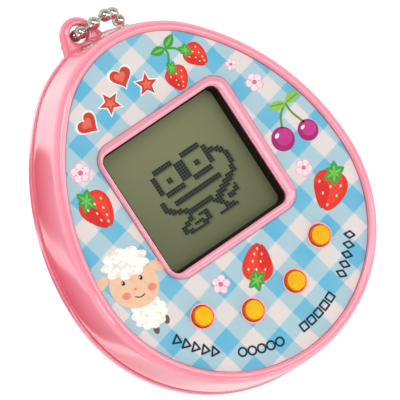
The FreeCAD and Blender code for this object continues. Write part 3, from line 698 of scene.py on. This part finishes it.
def back_shell(pink):
    """Proud lip at the seam, sloping flank, flat base, lug, battery bay, screw wells and sound holes."""
    slope = [(grow, (grow + 10.9) * 0.325) for grow in (1.0, -1.0, -4.0, -7.0, -9.8)]
    profile = [
        (-11.3, 1.2), (1.1, 5.2), (1.2, 5.4), (1.2, 6.45), (2.3, 6.5), (2.5, 6.47), (2.6, 6.36), (2.62, 6.2),
        (2.62, 5.4), (2.58, 5.0), (2.45, 4.65), (2.15, 4.32), (1.65, 4.08), *slope,
        (-10.3, 0.2), (-10.7, 0.06), (-11.2, 0.0),
    ]
    shell = solid("back_shell_skin", [egg_ring(grow, z) for grow, z in profile])
    boolean(shell, lug(), "UNION")
    for place in SCREW_PLACES:
        post_foot = 2.0 if abs(place[1]) < 20 else 2.6
        boolean(shell, drum(place, 2.9, post_foot, 6.4), "UNION")
        boolean(shell, drum(place, 2.0, -1.0, 4.4), "DIFFERENCE")
    boolean(shell, drum(CELL_PLACE, 7.6, 1.0, 6.7), "UNION")
    boolean(shell, drum(CELL_PLACE, 6.3, 1.3, 8.0), "DIFFERENCE")
    boolean(shell, box_prism(DOOR_PLACE, 7.15, 10.15, 3.15, -1.0, 1.4), "DIFFERENCE")
    sound_middle = Vector(SOUNDER_PLACE)
    for hole in [sound_middle, *(p + sound_middle for p in circle(6, 2.2))]:
        boolean(shell, drum(hole, 0.5, -1.0, 2.0, steps=24), "DIFFERENCE")
    crease(shell)
    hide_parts("back_shell")
    settle(shell, pink)


# ---- bead chain ----

# the same points as the CAD route, from the connector, over the lug and through its hole, and round under
# the flank of the back shell
CHAIN_ROUTE = [
    (18.2, 7.4, 1.05), (15.2, 13.1, 1.1), (11.3, 18.8, 1.05), (8.9, 23.0, 1.2), (7.9, 25.4, 2.5),
    (7.2, 27.5, 4.6), (5.6, 28.1, 6.9), (3.4, 28.2, 8.1), (1.35, 28.0, 8.15), (0.0, 27.9, 6.6),
    (0.05, 27.85, 2.9), (-1.2, 27.2, 1.4), (-2.6, 24.9, 1.05), (-5.6, 21.8, 1.1), (-10.6, 18.6, 1.05),
    (-15.3, 12.4, 1.1), (-19.8, 2.9, 1.05), (-22.0, -8.3, 1.1), (-19.2, -19.3, 1.05), (-11.2, -27.3, 1.1),
    (-0.2, -30.3, 1.05), (10.9, -27.4, 1.1), (19.1, -19.2, 1.05), (22.1, -8.5, 1.1), (20.9, -0.4, 1.05),
]
BEAD_RADIUS, BEAD_PITCH, LINK_RADIUS = 1.05, 2.75, 0.28


def route_points():
    """Points along the smooth route, read from its NURBS spline."""
    curve = bpy.data.curves.new("route", "CURVE")
    curve.dimensions = "3D"
    curve.resolution_u = 24
    spline = curve.splines.new("NURBS")
    spline.points.add(len(CHAIN_ROUTE) - 1)
    for point, place in zip(spline.points, CHAIN_ROUTE):
        point.co = (*at(*place), 1)
    spline.order_u = 3
    spline.use_endpoint_u = True
    holder = new_object("route", curve)
    graph = bpy.context.evaluated_depsgraph_get()
    mesh = bpy.data.meshes.new_from_object(holder.evaluated_get(graph))
    points = [v.co.copy() for v in mesh.vertices]
    bpy.data.objects.remove(holder)
    return points


def measure(points):
    """Distance along the route at each of its points."""
    reached = [0.0]
    for one, two in zip(points, points[1:]):
        reached.append(reached[-1] + (two - one).length)
    return reached


def place_along(points, reached, distance):
    """The point at a distance along the route, and the way the route runs there."""
    k = next((i for i in range(1, len(points)) if reached[i] >= distance), len(points) - 1)
    step = points[k] - points[k - 1]
    share = (distance - reached[k - 1]) / step.length
    return points[k - 1] + step * share, step.normalized()


def turned_profile(bm, centre, way, profile, steps):
    """A closed turned shape about an axis: profile is (distance along, radius), with a point at each end."""
    side = way.orthogonal().normalized()
    other = way.cross(side)
    first = bm.verts.new(centre + way * profile[0][0])
    last = bm.verts.new(centre + way * profile[-1][0])
    rings = []
    for reach, radius in profile[1:-1]:
        ring = [way * reach + (side * c.x + other * c.y) * radius for c in circle(steps)]
        rings.append([bm.verts.new(centre + p) for p in ring])
    pairs = [(s, (s + 1) % steps) for s in range(steps)]
    for one, two in zip(rings, rings[1:]):
        for s, after in pairs:
            bm.faces.new((one[s], one[after], two[after], two[s]))
    for s, after in pairs:
        bm.faces.new((first, rings[0][after], rings[0][s]))
        bm.faces.new((last, rings[-1][s], rings[-1][after]))


def bead_profile():
    """A hollow ball rolled from sheet, with small flats where the wire comes out."""
    flat = 0.30
    start = math.asin(flat / BEAD_RADIUS)
    arc = [start + (math.pi - 2 * start) * k / 16 for k in range(17)]
    ball = [(-math.cos(a) * BEAD_RADIUS * MM, math.sin(a) * BEAD_RADIUS * MM) for a in arc]
    return [(ball[0][0] + 0.05 * MM, 0.0), *ball, (ball[-1][0] - 0.05 * MM, 0.0)]


def bead_chain(nickel):
    points = route_points()
    reached = measure(points)
    # one bead sits just over the lug's hole, and the rest are counted from it
    over_hole = at(0.1, 27.9, 6.6)
    nearest = min(range(len(points)), key=lambda k: (points[k] - over_hole).length)
    pitch = BEAD_PITCH * MM
    start = (reached[nearest] - BEAD_RADIUS * MM) % pitch + BEAD_RADIUS * MM
    count = int((reached[-1] - BEAD_RADIUS * MM - start) / pitch) + 1
    centres = [place_along(points, reached, start + k * pitch) for k in range(count)]
    bm = bmesh.new()
    profile = bead_profile()
    for centre, way in centres:
        turned_profile(bm, centre, way, profile, 28)
    stop = (BEAD_RADIUS - 0.12) * MM
    for (one, _), (two, _) in zip(centres, centres[1:]):
        gap = two - one
        half = gap.length / 2 - stop
        wire = [(-half, 0), (-half, LINK_RADIUS * MM), (half, LINK_RADIUS * MM), (half, 0)]
        turned_profile(bm, (one + two) / 2, gap.normalized(), wire, 12)
    chain = finish_mesh(bm, "bead_chain_beads")
    settle(chain, nickel)
    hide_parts("bead_chain")


# ---- printed artwork ----


class Print:
    """One ink: flat shapes on the label, gathered into one thin piece."""

    def __init__(self, name, material, layer):
        self.name = name
        self.material = material
        self.low = LABEL_TOP - 0.03
        self.high = LABEL_TOP + 0.008 + 0.012 * layer
        self.count = 0
        self.bm = bmesh.new()

    def add(self, outline):
        """A closed prism over an outline of points in millimetres."""
        self.count += 1
        top = self.high + 0.0002 * (self.count % 24)
        skin(self.bm, [lay(outline, z) for z in (self.low, top)])

    def done(self):
        settle(finish_mesh(self.bm, self.name), self.material)


def oval(centre, half_long, half_wide, tilt=0.0, steps=40):
    centre = Vector(centre)
    long_way, side = heading(tilt), heading(tilt + 90)
    return [centre + long_way * half_long * p.x + side * half_wide * p.y for p in circle(steps)]


def smooth_line(points, steps):
    """A rounded line through points (Catmull-Rom)."""
    points = [Vector(p) for p in points]
    padded = [points[0] * 2 - points[1], *points, points[-1] * 2 - points[-2]]
    line = []
    for a, b, c, d in zip(padded, padded[1:], padded[2:], padded[3:]):
        for k in range(steps):
            t = k / steps
            squared, cubed = 2 * a - 5 * b + 4 * c - d, 3 * b - a - 3 * c + d
            line.append(0.5 * (2 * b + (c - a) * t + squared * t**2 + cubed * t**3))
    return [*line, points[-1]]


def stroke(points, width, steps=8):
    """A brush stroke with round ends along a smooth line."""
    line = smooth_line(points, steps)
    ways = [(b - a).normalized() for a, b in zip(line, line[1:])]
    ways.append(ways[-1])
    half = width / 2
    left, right = [], []
    for p, way in zip(line, ways):
        side = Vector((-way.y, way.x)) * half
        left.append(p + side)
        right.append(p - side)
    start, stop = math.atan2(ways[0].y, ways[0].x), math.atan2(ways[-1].y, ways[-1].x)
    tail = [line[0] + turn(start + math.pi / 2 + math.pi * k / 6, half) for k in range(1, 6)]
    tip = [line[-1] + turn(stop - math.pi / 2 + math.pi * k / 6, half) for k in range(1, 6)]
    return right + tip + left[::-1] + tail


def leaf(root, tip, width, bend=0.0):
    """A pointed leaf from root to tip."""
    root, tip = Vector(root), Vector(tip)
    way = tip - root
    side = Vector((-way.y, way.x)).normalized()
    shares = [k / 12 for k in range(13)]

    def edge(share, sign):
        bulge = width / 2 * math.sin(math.pi * share**0.85) * sign + bend * math.sin(math.pi * share)
        return root + way * share + side * bulge

    return [edge(s, 1) for s in shares] + [edge(s, -1) for s in shares[-2:0:-1]]


def berry(centre, angle, long, wide):
    """A strawberry's body: broad at its shoulder and drawn in to a rounded tip at this heading."""
    way, side = heading(angle), heading(angle + 90)
    back = Vector(centre) - way * long / 2
    half = []
    for k in range(25):
        share = (1 - math.cos(math.pi * k / 24)) / 2
        half.append((share, wide / 2 * math.sin(math.pi * share**0.66) ** 0.62))
    right = [back + way * long * s - side * w for s, w in half]
    left = [back + way * long * s + side * w for s, w in half[-2:0:-1]]
    return right + left


def star(centre, outer, inner, tilt):
    """A five-pointed star."""
    return [Vector(centre) + heading(tilt + 36 * k, (outer, inner)[k % 2]) for k in range(10)]


def flower(centre, radius, tilt):
    """A five-petalled outline."""
    outline = []
    for angle in around(60):
        reach = radius * (0.62 + 0.38 * abs(math.cos(2.5 * angle)) ** 0.7)
        outline.append(Vector(centre) + turn(angle + math.radians(tilt), reach))
    return outline


def heart(centre, size, tilt):
    outline = []
    for t in around(36):
        x = math.sin(t) ** 3
        y = (13 * math.cos(t) - 5 * math.cos(2 * t) - 2 * math.cos(3 * t) - math.cos(4 * t)) / 16 + 0.15
        outline.append(Vector(centre) + heading(tilt, x * size / 2) + heading(tilt + 90, y * size / 2))
    return outline


def fleece(centre, half_long, half_wide, tilt, bumps, depth=0.14):
    """A woolly outline: an oval with round lobes."""
    outline = []
    for angle in around(120):
        reach = 1 - depth + depth * abs(math.sin(bumps * angle / 2))
        p = turn(angle, reach)
        outline.append(Vector(centre) + heading(tilt, p.x * half_long) + heading(tilt + 90, p.y * half_wide))
    return outline


def strawberry(inks, centre, angle, long, wide, calyx, crown, seeds=None):
    """A printed strawberry with leaves, seeds and a soft shine."""
    centre = Vector(centre)
    way, side = heading(angle), heading(angle + 90)
    inks["red"].add(berry(centre, angle, long, wide))
    shadow = centre + way * long * 0.04 - side * wide * 0.2
    inks["deep_red"].add(berry(shadow + way * long * 0.1, angle + 8, long * 0.66, wide * 0.42))
    shine = centre + side * wide * 0.06 - way * long * 0.03
    inks["red_light"].add(berry(shine, angle - 2, long * 0.74, wide * 0.6))
    for seed in seeds or seed_grid(centre, angle, long, wide):
        inks["seed"].add(oval(seed, 0.22 * long / 6, 0.15 * long / 6, angle, steps=12))
    for k in range(6):
        spread = angle + 60 * k + 12
        tip = Vector(calyx) + heading(spread, crown * (0.75 if k % 3 == 1 else 1.0))
        inks["green"].add(leaf(calyx, tip, crown * 0.62))
        inks["leaf_light"].add(leaf(calyx, Vector(calyx).lerp(tip, 0.72), crown * 0.2))


# rows of seeds: how far along the berry, and how far across it, in shares of its length and width
SEED_ROWS = ((-0.18, (-0.24, 0.04, 0.3)), (0.03, (-0.1, 0.16)), (0.22, (-0.14, 0.1)), (0.36, (0.0,)))


def seed_grid(centre, angle, long, wide):
    """Seeds in staggered rows, fewer towards the tip."""
    way, side = heading(angle), heading(angle + 90)
    seeds = []
    for along, across in SEED_ROWS:
        seeds += [Vector(centre) + way * long * along + side * wide * a for a in across]
    return seeds


def berries(inks):
    junction = Vector((6.92, 19.06))
    for foot in ((8.95, 17.2), (6.02, 16.7)):
        bend = (junction + Vector(foot)) / 2 + Vector((0.35, 0.1))
        inks["green"].add(stroke([junction, bend, foot], 0.34))
    strawberry(inks, (10.6, 15.57), -65, 4.2, 3.5, (9.5, 17.14), crown=1.2)
    strawberry(inks, (6.1, 14.18), -90, 4.0, 3.7, (6.08, 15.98), crown=1.2)
    for tip in ((9.3, 20.3), (4.41, 19.56)):
        inks["green"].add(leaf(junction, tip, 1.5))
        vein = (junction.lerp(Vector(tip), share) for share in (0.1, 0.85))
        inks["leaf_light"].add(leaf(*vein, 0.4))
    seeds = (
        (16.26, -11.13), (17.31, -12.77), (18.78, -13.56), (15.69, -12.92), (17.33, -14.47), (15.25, -14.81),
    )
    strawberry(inks, (16.9, -13.2), -135, 6.5, 5.6, (19.02, -11.39), crown=2.0, seeds=seeds)
    strawberry(inks, (0.65, -16.0), 57, 6.0, 5.0, (-1.0, -18.18), crown=1.8)
    strawberry(inks, (-16.12, 4.26), -80, 6.1, 5.2, (-16.97, 6.43), crown=1.9)


def cherries(inks):
    junction = Vector((18.54, 1.81))
    pairs = (((15.05, -2.60), 1.92, (15.95, -0.94)), ((19.3, -3.6), 1.7, (19.41, -2.14)))
    for centre, radius, top in pairs:
        middle = junction.lerp(Vector(top), 0.5) + Vector((-0.35, 0.25))
        inks["stem"].add(stroke([junction, middle, top], 0.34))
        inks["plum"].add(oval(centre, radius, radius))
        glow = Vector(centre) + Vector((0.15, 0.1)) * radius
        inks["plum_light"].add(oval(glow, radius * 0.72, radius * 0.68))
        shine = Vector(centre) + Vector((-0.3, 0.48)) * radius
        inks["white"].add(oval(shine, radius * 0.24, radius * 0.15, 25, steps=20))
    for tip in ((15.7, 2.8), (21.55, 2.05)):
        inks["lime"].add(leaf(junction, tip, 1.5, 0.15))
        inks["green"].add(stroke([junction.lerp(Vector(tip), 0.12), junction.lerp(Vector(tip), 0.8)], 0.16))


def blossoms(inks):
    places = (
        ((14.51, 11.42), 0.95), ((16.17, 7.15), 1.45), ((15.34, -8.03), 1.4), ((-6.22, -15.54), 1.5),
        ((-15.29, 10.47), 1.6),
    )
    for k, (centre, radius) in enumerate(places):
        inks["blossom_edge"].add(flower(centre, radius * 1.08, 17 * k))
        inks["blossom"].add(flower(centre, radius * 0.94, 17 * k))
        # each flower's edge stands two small steps over the last one's
        inks["blossom_edge"].count += 1
        inks["blossom_heart"].add(oval(centre, radius * 0.26, radius * 0.26, steps=20))
        for arm in range(5):
            tip = Vector(centre) + heading(17 * k + 36 + 72 * arm, radius * 0.5)
            inks["blossom_heart"].add(oval(tip, radius * 0.07, radius * 0.07, steps=10))


def top_motifs(inks):
    """Hearts and stars where a row of marks runs along the shoulder."""
    places = ((-9.95, 15.71), (-5.25, 16.73), (-1.56, 18.88), (1.28, 16.06))
    for k, centre in enumerate(places):
        tilt = 24 - 16 * k
        if k % 2:
            inks["halo"].add(star(centre, 2.2, 1.1, 90 + tilt))
            inks["motif"].add(star(centre, 1.85, 0.82, 90 + tilt))
            inks["motif_light"].add(star(centre, 1.0, 0.45, 90 + tilt))
        else:
            inks["halo"].add(heart(centre, 4.2, tilt))
            inks["motif"].add(heart(centre, 3.5, tilt))
            inks["motif_light"].add(heart(Vector(centre) + Vector((-0.15, 0.2)), 1.9, tilt))


def lamb(inks):
    """A plain lamb: woolly cap, round face, small body and two feet."""
    tilt = -16
    for foot in ((-16.5, -15.2), (-18.7, -15.6)):
        inks["hoof"].add(oval(foot, 0.75, 0.5, 70, steps=20))
    inks["wool"].add(fleece((-18.2, -12.9), 3.0, 2.6, tilt, 11))
    for ear in ((-22.0, -5.3), (-13.2, -7.6)):
        inks["skin"].add(oval(ear, 1.3, 0.75, tilt + (35 if ear[0] < -18 else -35), steps=24))
    inks["skin"].add(oval((-17.85, -8.1), 4.0, 3.6, -33))
    inks["wool_top"].add(fleece((-17.2, -4.6), 4.0, 2.5, tilt, 9, 0.2))
    for eye in ((-19.2, -7.0), (-16.35, -7.75)):
        inks["navy"].add(oval(eye, 0.36, 0.3, 90 + tilt, steps=20))
        inks["white"].add(oval(Vector(eye) + Vector((-0.1, 0.13)), 0.11, 0.11, steps=10))
    for cheek in ((-19.83, -8.9), (-15.6, -9.9)):
        inks["blush"].add(oval(cheek, 0.72, 0.55, tilt, steps=24))
    inks["navy"].add(stroke([(-18.7, -9.75), (-18.0, -10.2), (-17.25, -10.15)], 0.16))
    inks["blush"].add(oval((-18.05, -8.75), 0.3, 0.2, tilt, steps=16))


def legend_icons(inks):
    """A row of small outlined shapes under each key instead of a word, a different shape for each."""
    signs = (
        [(-0.5, -0.75), (-0.5, 0.75), (0.62, 0.0)],
        [heading(a, 0.66) for a in range(0, 360, 30)],
        [(-0.55, -0.6), (-0.55, 0.6), (0.55, 0.6), (0.55, -0.6)],
        [(-0.55, 0.0), (0.0, 0.85), (0.55, 0.0), (0.0, -0.85)],
    )
    pen, count, pitch = 0.29, 5, 4.5
    low = Vector((0, EGG_LOW))
    for place, sign in zip((-139, -108.5, -77, -47), signs):
        for k in range(count):
            angle = place + (k - (count - 1) / 2) * pitch
            turned = Matrix.Rotation(math.radians(angle + 90), 2)
            centre = low + heading(angle, 19.9)
            corners = [centre + turned @ Vector(p) for p in sign]
            for one, two in zip(corners, corners[1:] + corners[:1]):
                inks["navy"].add(stroke([one, two], pen, 1))


# each ink's display colour and its layer, from the label upwards
INKS = {
    "halo": ((250, 244, 234), 0),
    "blossom_edge": ((242, 170, 192), 0),
    "stem": ((96, 150, 60), 1),
    "hoof": ((120, 84, 70), 0),
    "skin": ((240, 196, 160), 1),
    "green": ((64, 160, 62), 3),
    "lime": ((150, 196, 70), 2),
    "red": ((232, 52, 36), 1),
    "red_light": ((238, 66, 46), 2),
    "deep_red": ((220, 40, 34), 3),
    "leaf_light": ((120, 196, 80), 4),
    "seed": ((255, 220, 190), 4),
    "plum": ((172, 30, 110), 1),
    "plum_light": ((196, 56, 138), 2),
    "motif": ((206, 62, 46), 1),
    "motif_light": ((232, 106, 84), 2),
    "blossom": ((252, 226, 232), 1),
    "blossom_heart": ((232, 110, 140), 2),
    "blush": ((240, 142, 126), 2),
    "navy": ((30, 44, 60), 3),
    "white": ((255, 252, 248), 5),
}
# the darkest share of an ink's colour in its mottling
MOTTLE, SKIN_MOTTLE = 0.88, 0.96


def artwork():
    inks = {}
    for ink, (tone, layer) in INKS.items():
        look = ink_look("ink_" + ink, rgb(*tone), SKIN_MOTTLE if ink == "skin" else MOTTLE)
        inks[ink] = Print("print_" + ink, look, layer)
    wool = wool_look()
    inks["wool"] = Print("print_wool", wool, 0.5)
    inks["wool_top"] = Print("print_wool_top", wool, 1.6)
    for draw in (berries, cherries, blossoms, top_motifs, lamb, legend_icons):
        draw(inks)
    for ink in inks.values():
        ink.done()


# ---- screen picture ----

PIXEL, PIXEL_GAP = 0.44, 0.05
# an open failure: these rows follow a maker's creature too closely and are to be replaced
PICTURE = """
......########....########........
......########....########........
....##........####........##......
....##........####........##......
....##........####........####....
....##...##...####...##...######..
....##...##...####...##...##..###.
....##........####........##...##.
....##........####........##....##
......########....########......##
......########....########......##
..##............................##
..##............................##
..##...####################....##.
..###..####################....##.
...###......................#####.
....####..................#####...
......####..............######....
........############..######......
.........###########.#####...#....
........##.........#####....##....
......####..####....###..#####....
....####......##.....##..###......
....##...####.##......##..........
....####....####......####........
......########.....########.......
""".split()


def screen_picture():
    """A dot-matrix pet: each dot is a small tile on the polariser, over a fainter shadow tile."""
    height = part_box("lcd_polariser")[1].z / MM
    rows, columns = len(PICTURE), len(PICTURE[0])
    half = (PIXEL - PIXEL_GAP) / 2
    layers = (
        ("lcd_dots", pixel_look(), (-0.15, -1.3), 0.02, half),
        ("lcd_dot_shadows", pixel_shadow_look(), (0.06, -1.52), 0.01, PIXEL / 2 - 0.004),
    )
    for name, look, (shift_x, shift_y), rise, reach in layers:
        bm = bmesh.new()
        for r, row in enumerate(PICTURE):
            for c, cell in enumerate(row):
                if cell != "#":
                    continue
                x = (c - (columns - 1) / 2) * PIXEL + shift_x
                y = ((rows - 1) / 2 - r) * PIXEL + shift_y
                left, right, below, above = x - reach, x + reach, y - reach, y + reach
                corners = ((left, below), (right, below), (right, above), (left, above))
                skin(bm, [[at(*p, z) for p in corners] for z in (height - 0.01, height + rise)])
        settle(finish_mesh(bm, name), look)


# ---- studio ----


# the camera in degrees: its tip off the face's normal, the heading it tips about, and its turn
TIP, TIP_HEADING, TURN = 19.1, 257.7, -33.67
LENS, SENSOR = 400, 36
# millimetres: the width in view, and how far right of and below the label's middle the camera aims
VIEW_WIDTH, AIM_RIGHT, AIM_DOWN = 61.0, 0.42, 3.49


def camera():
    """The photograph's view: tipped off the face's normal and turned about it."""
    tip = Matrix.Rotation(math.radians(TIP), 4, Vector((*heading(TIP_HEADING), 0)))
    pose = tip @ Matrix.Rotation(math.radians(TURN), 4, "Z")
    right, up, back = (pose.to_3x3() @ Vector(v) for v in ((1, 0, 0), (0, 1, 0), (0, 0, 1)))
    target = at(0, 0, LABEL_TOP) + (right * AIM_RIGHT - up * AIM_DOWN) * MM
    data = bpy.data.cameras.new("camera")
    data.lens, data.sensor_width = LENS, SENSOR
    data.clip_start, data.clip_end = 0.01, 10
    made = new_object("camera", data)
    made.matrix_world = Matrix.Translation(target + back * VIEW_WIDTH * LENS / SENSOR * MM) @ pose
    bpy.context.scene.camera = made


def soft_light(name, place, size, power):
    """A rectangular soft box that faces the toy."""
    data = bpy.data.lights.new(name, "AREA")
    data.shape = "RECTANGLE"
    data.size, data.size_y = size
    data.energy = power
    made = new_object(name, data)
    made.location = place
    made.rotation_euler = (-Vector(place)).to_track_quat("-Z", "Y").to_euler()


# the tent's low cards: brightness by azimuth, in degrees
CARDS = (
    (-180, 0.04), (-158, 0.04), (-152, 0.3), (-149, 1.2), (-142, 1.15), (-138, 0.65), (-122, 0.65),
    (-100, 0.8), (-82, 1.0), (-50, 0.85), (-30, 0.5), (60, 0.7), (88, 1.5), (119, 1.5), (123, 0.12),
    (150, 0.06), (156, 0.5), (158, 1.2), (166, 1.0), (169, 0.06),
)
# they lean by this share of a turn for each unit of height, measured from their depth below the horizon
CARD_LEAN, CARD_DEPTH = 0.45, 0.905
TENT_STRENGTH = 2.0


def light_tent(tree):
    """A pale tent: soft overhead, with low white cards and dark gaps that the glossy flanks reflect."""
    tent = Shader(tree, "Generated")
    across, deep, up = (tent.axis(axis) for axis in "XYZ")
    turns = tent.math("DIVIDE", tent.math("ARCTAN2", deep, across), math.tau)
    lean = tent.math("MULTIPLY", tent.math("ADD", up, CARD_DEPTH), CARD_LEAN)
    leaned = tent.math("SUBTRACT", tent.math("ADD", turns, 0.5), lean)
    stops = [((azimuth + 180) / 360, grey(level / TENT_STRENGTH)) for azimuth, level in CARDS]
    low = tent.ramp(leaned, stops)
    faded = tent.mix(tent.remap(up, -0.88, -0.6, smooth=True), low, grey(0.5))
    dome = tent.mix(tent.remap(up, 0.0, 0.9), grey(0.42), (0.10, 0.10, 0.105, 1))
    over = tent.remap(up, -0.08, 0.0)
    sky = tree.nodes["Background"]
    tree.links.new(tent.mix(over, faded, dome), sky.inputs[0])
    sky.inputs["Strength"].default_value = TENT_STRENGTH


# soft boxes: place and size in metres, and power in watts
SOFT_BOXES = (
    ("overhead", (0.137, -0.052, 0.478), (0.30, 0.30), 0.76),
    ("key", (-0.10, 0.22, 0.42), (0.16, 0.26), 0.68),
    ("fill", (0.34, -0.18, 0.30), (0.12, 0.30), 0.35),
    ("left_strip", (-0.42, -0.06, 0.12), (0.10, 0.34), 0.35),
    ("front_strip", (0.05, -0.44, 0.14), (0.34, 0.08), 0.35),
)


def studio():
    scene = bpy.context.scene
    scene.view_settings.view_transform = "Standard"
    world = bpy.data.worlds.new("studio")
    scene.world = world
    world.use_nodes = True
    light_tent(world.node_tree)
    floor_mesh()
    for box in SOFT_BOXES:
        soft_light(*box)


# metres: half the floor's width, its top and its thickness
FLOOR_REACH, FLOOR_TOP, FLOOR_THICK = 2, -0.0002, 0.01


def floor_mesh():
    """A pale floor, just below the toy."""
    paint = Paint("pale_floor").set(Roughness=0.9, Emission_Color=(1, 1, 1, 1), Emission_Strength=0.8)
    cloud = paint.noise(60, detail=2)
    paint.colour(paint.blend(cloud, grey(0.40), grey(0.44)))
    signs = ((-1, -1), (1, -1), (1, 1), (-1, 1))
    points = [Vector((x * FLOOR_REACH, y * FLOOR_REACH, FLOOR_TOP)) for x, y in signs]
    floor = solid("floor", [[p - Vector((0, 0, FLOOR_THICK)) for p in points], points])
    dress(floor, paint.material)
    floor.visible_glossy = False


# ---- build ----


def build():
    camera()
    studio()
    front_pink, back_pink, nickel, rubber = dress_frame()
    key_domes(rubber)
    bead_chain(nickel)
    front_shell(front_pink)
    back_shell(back_pink)
    artwork()
    screen_picture()


build()
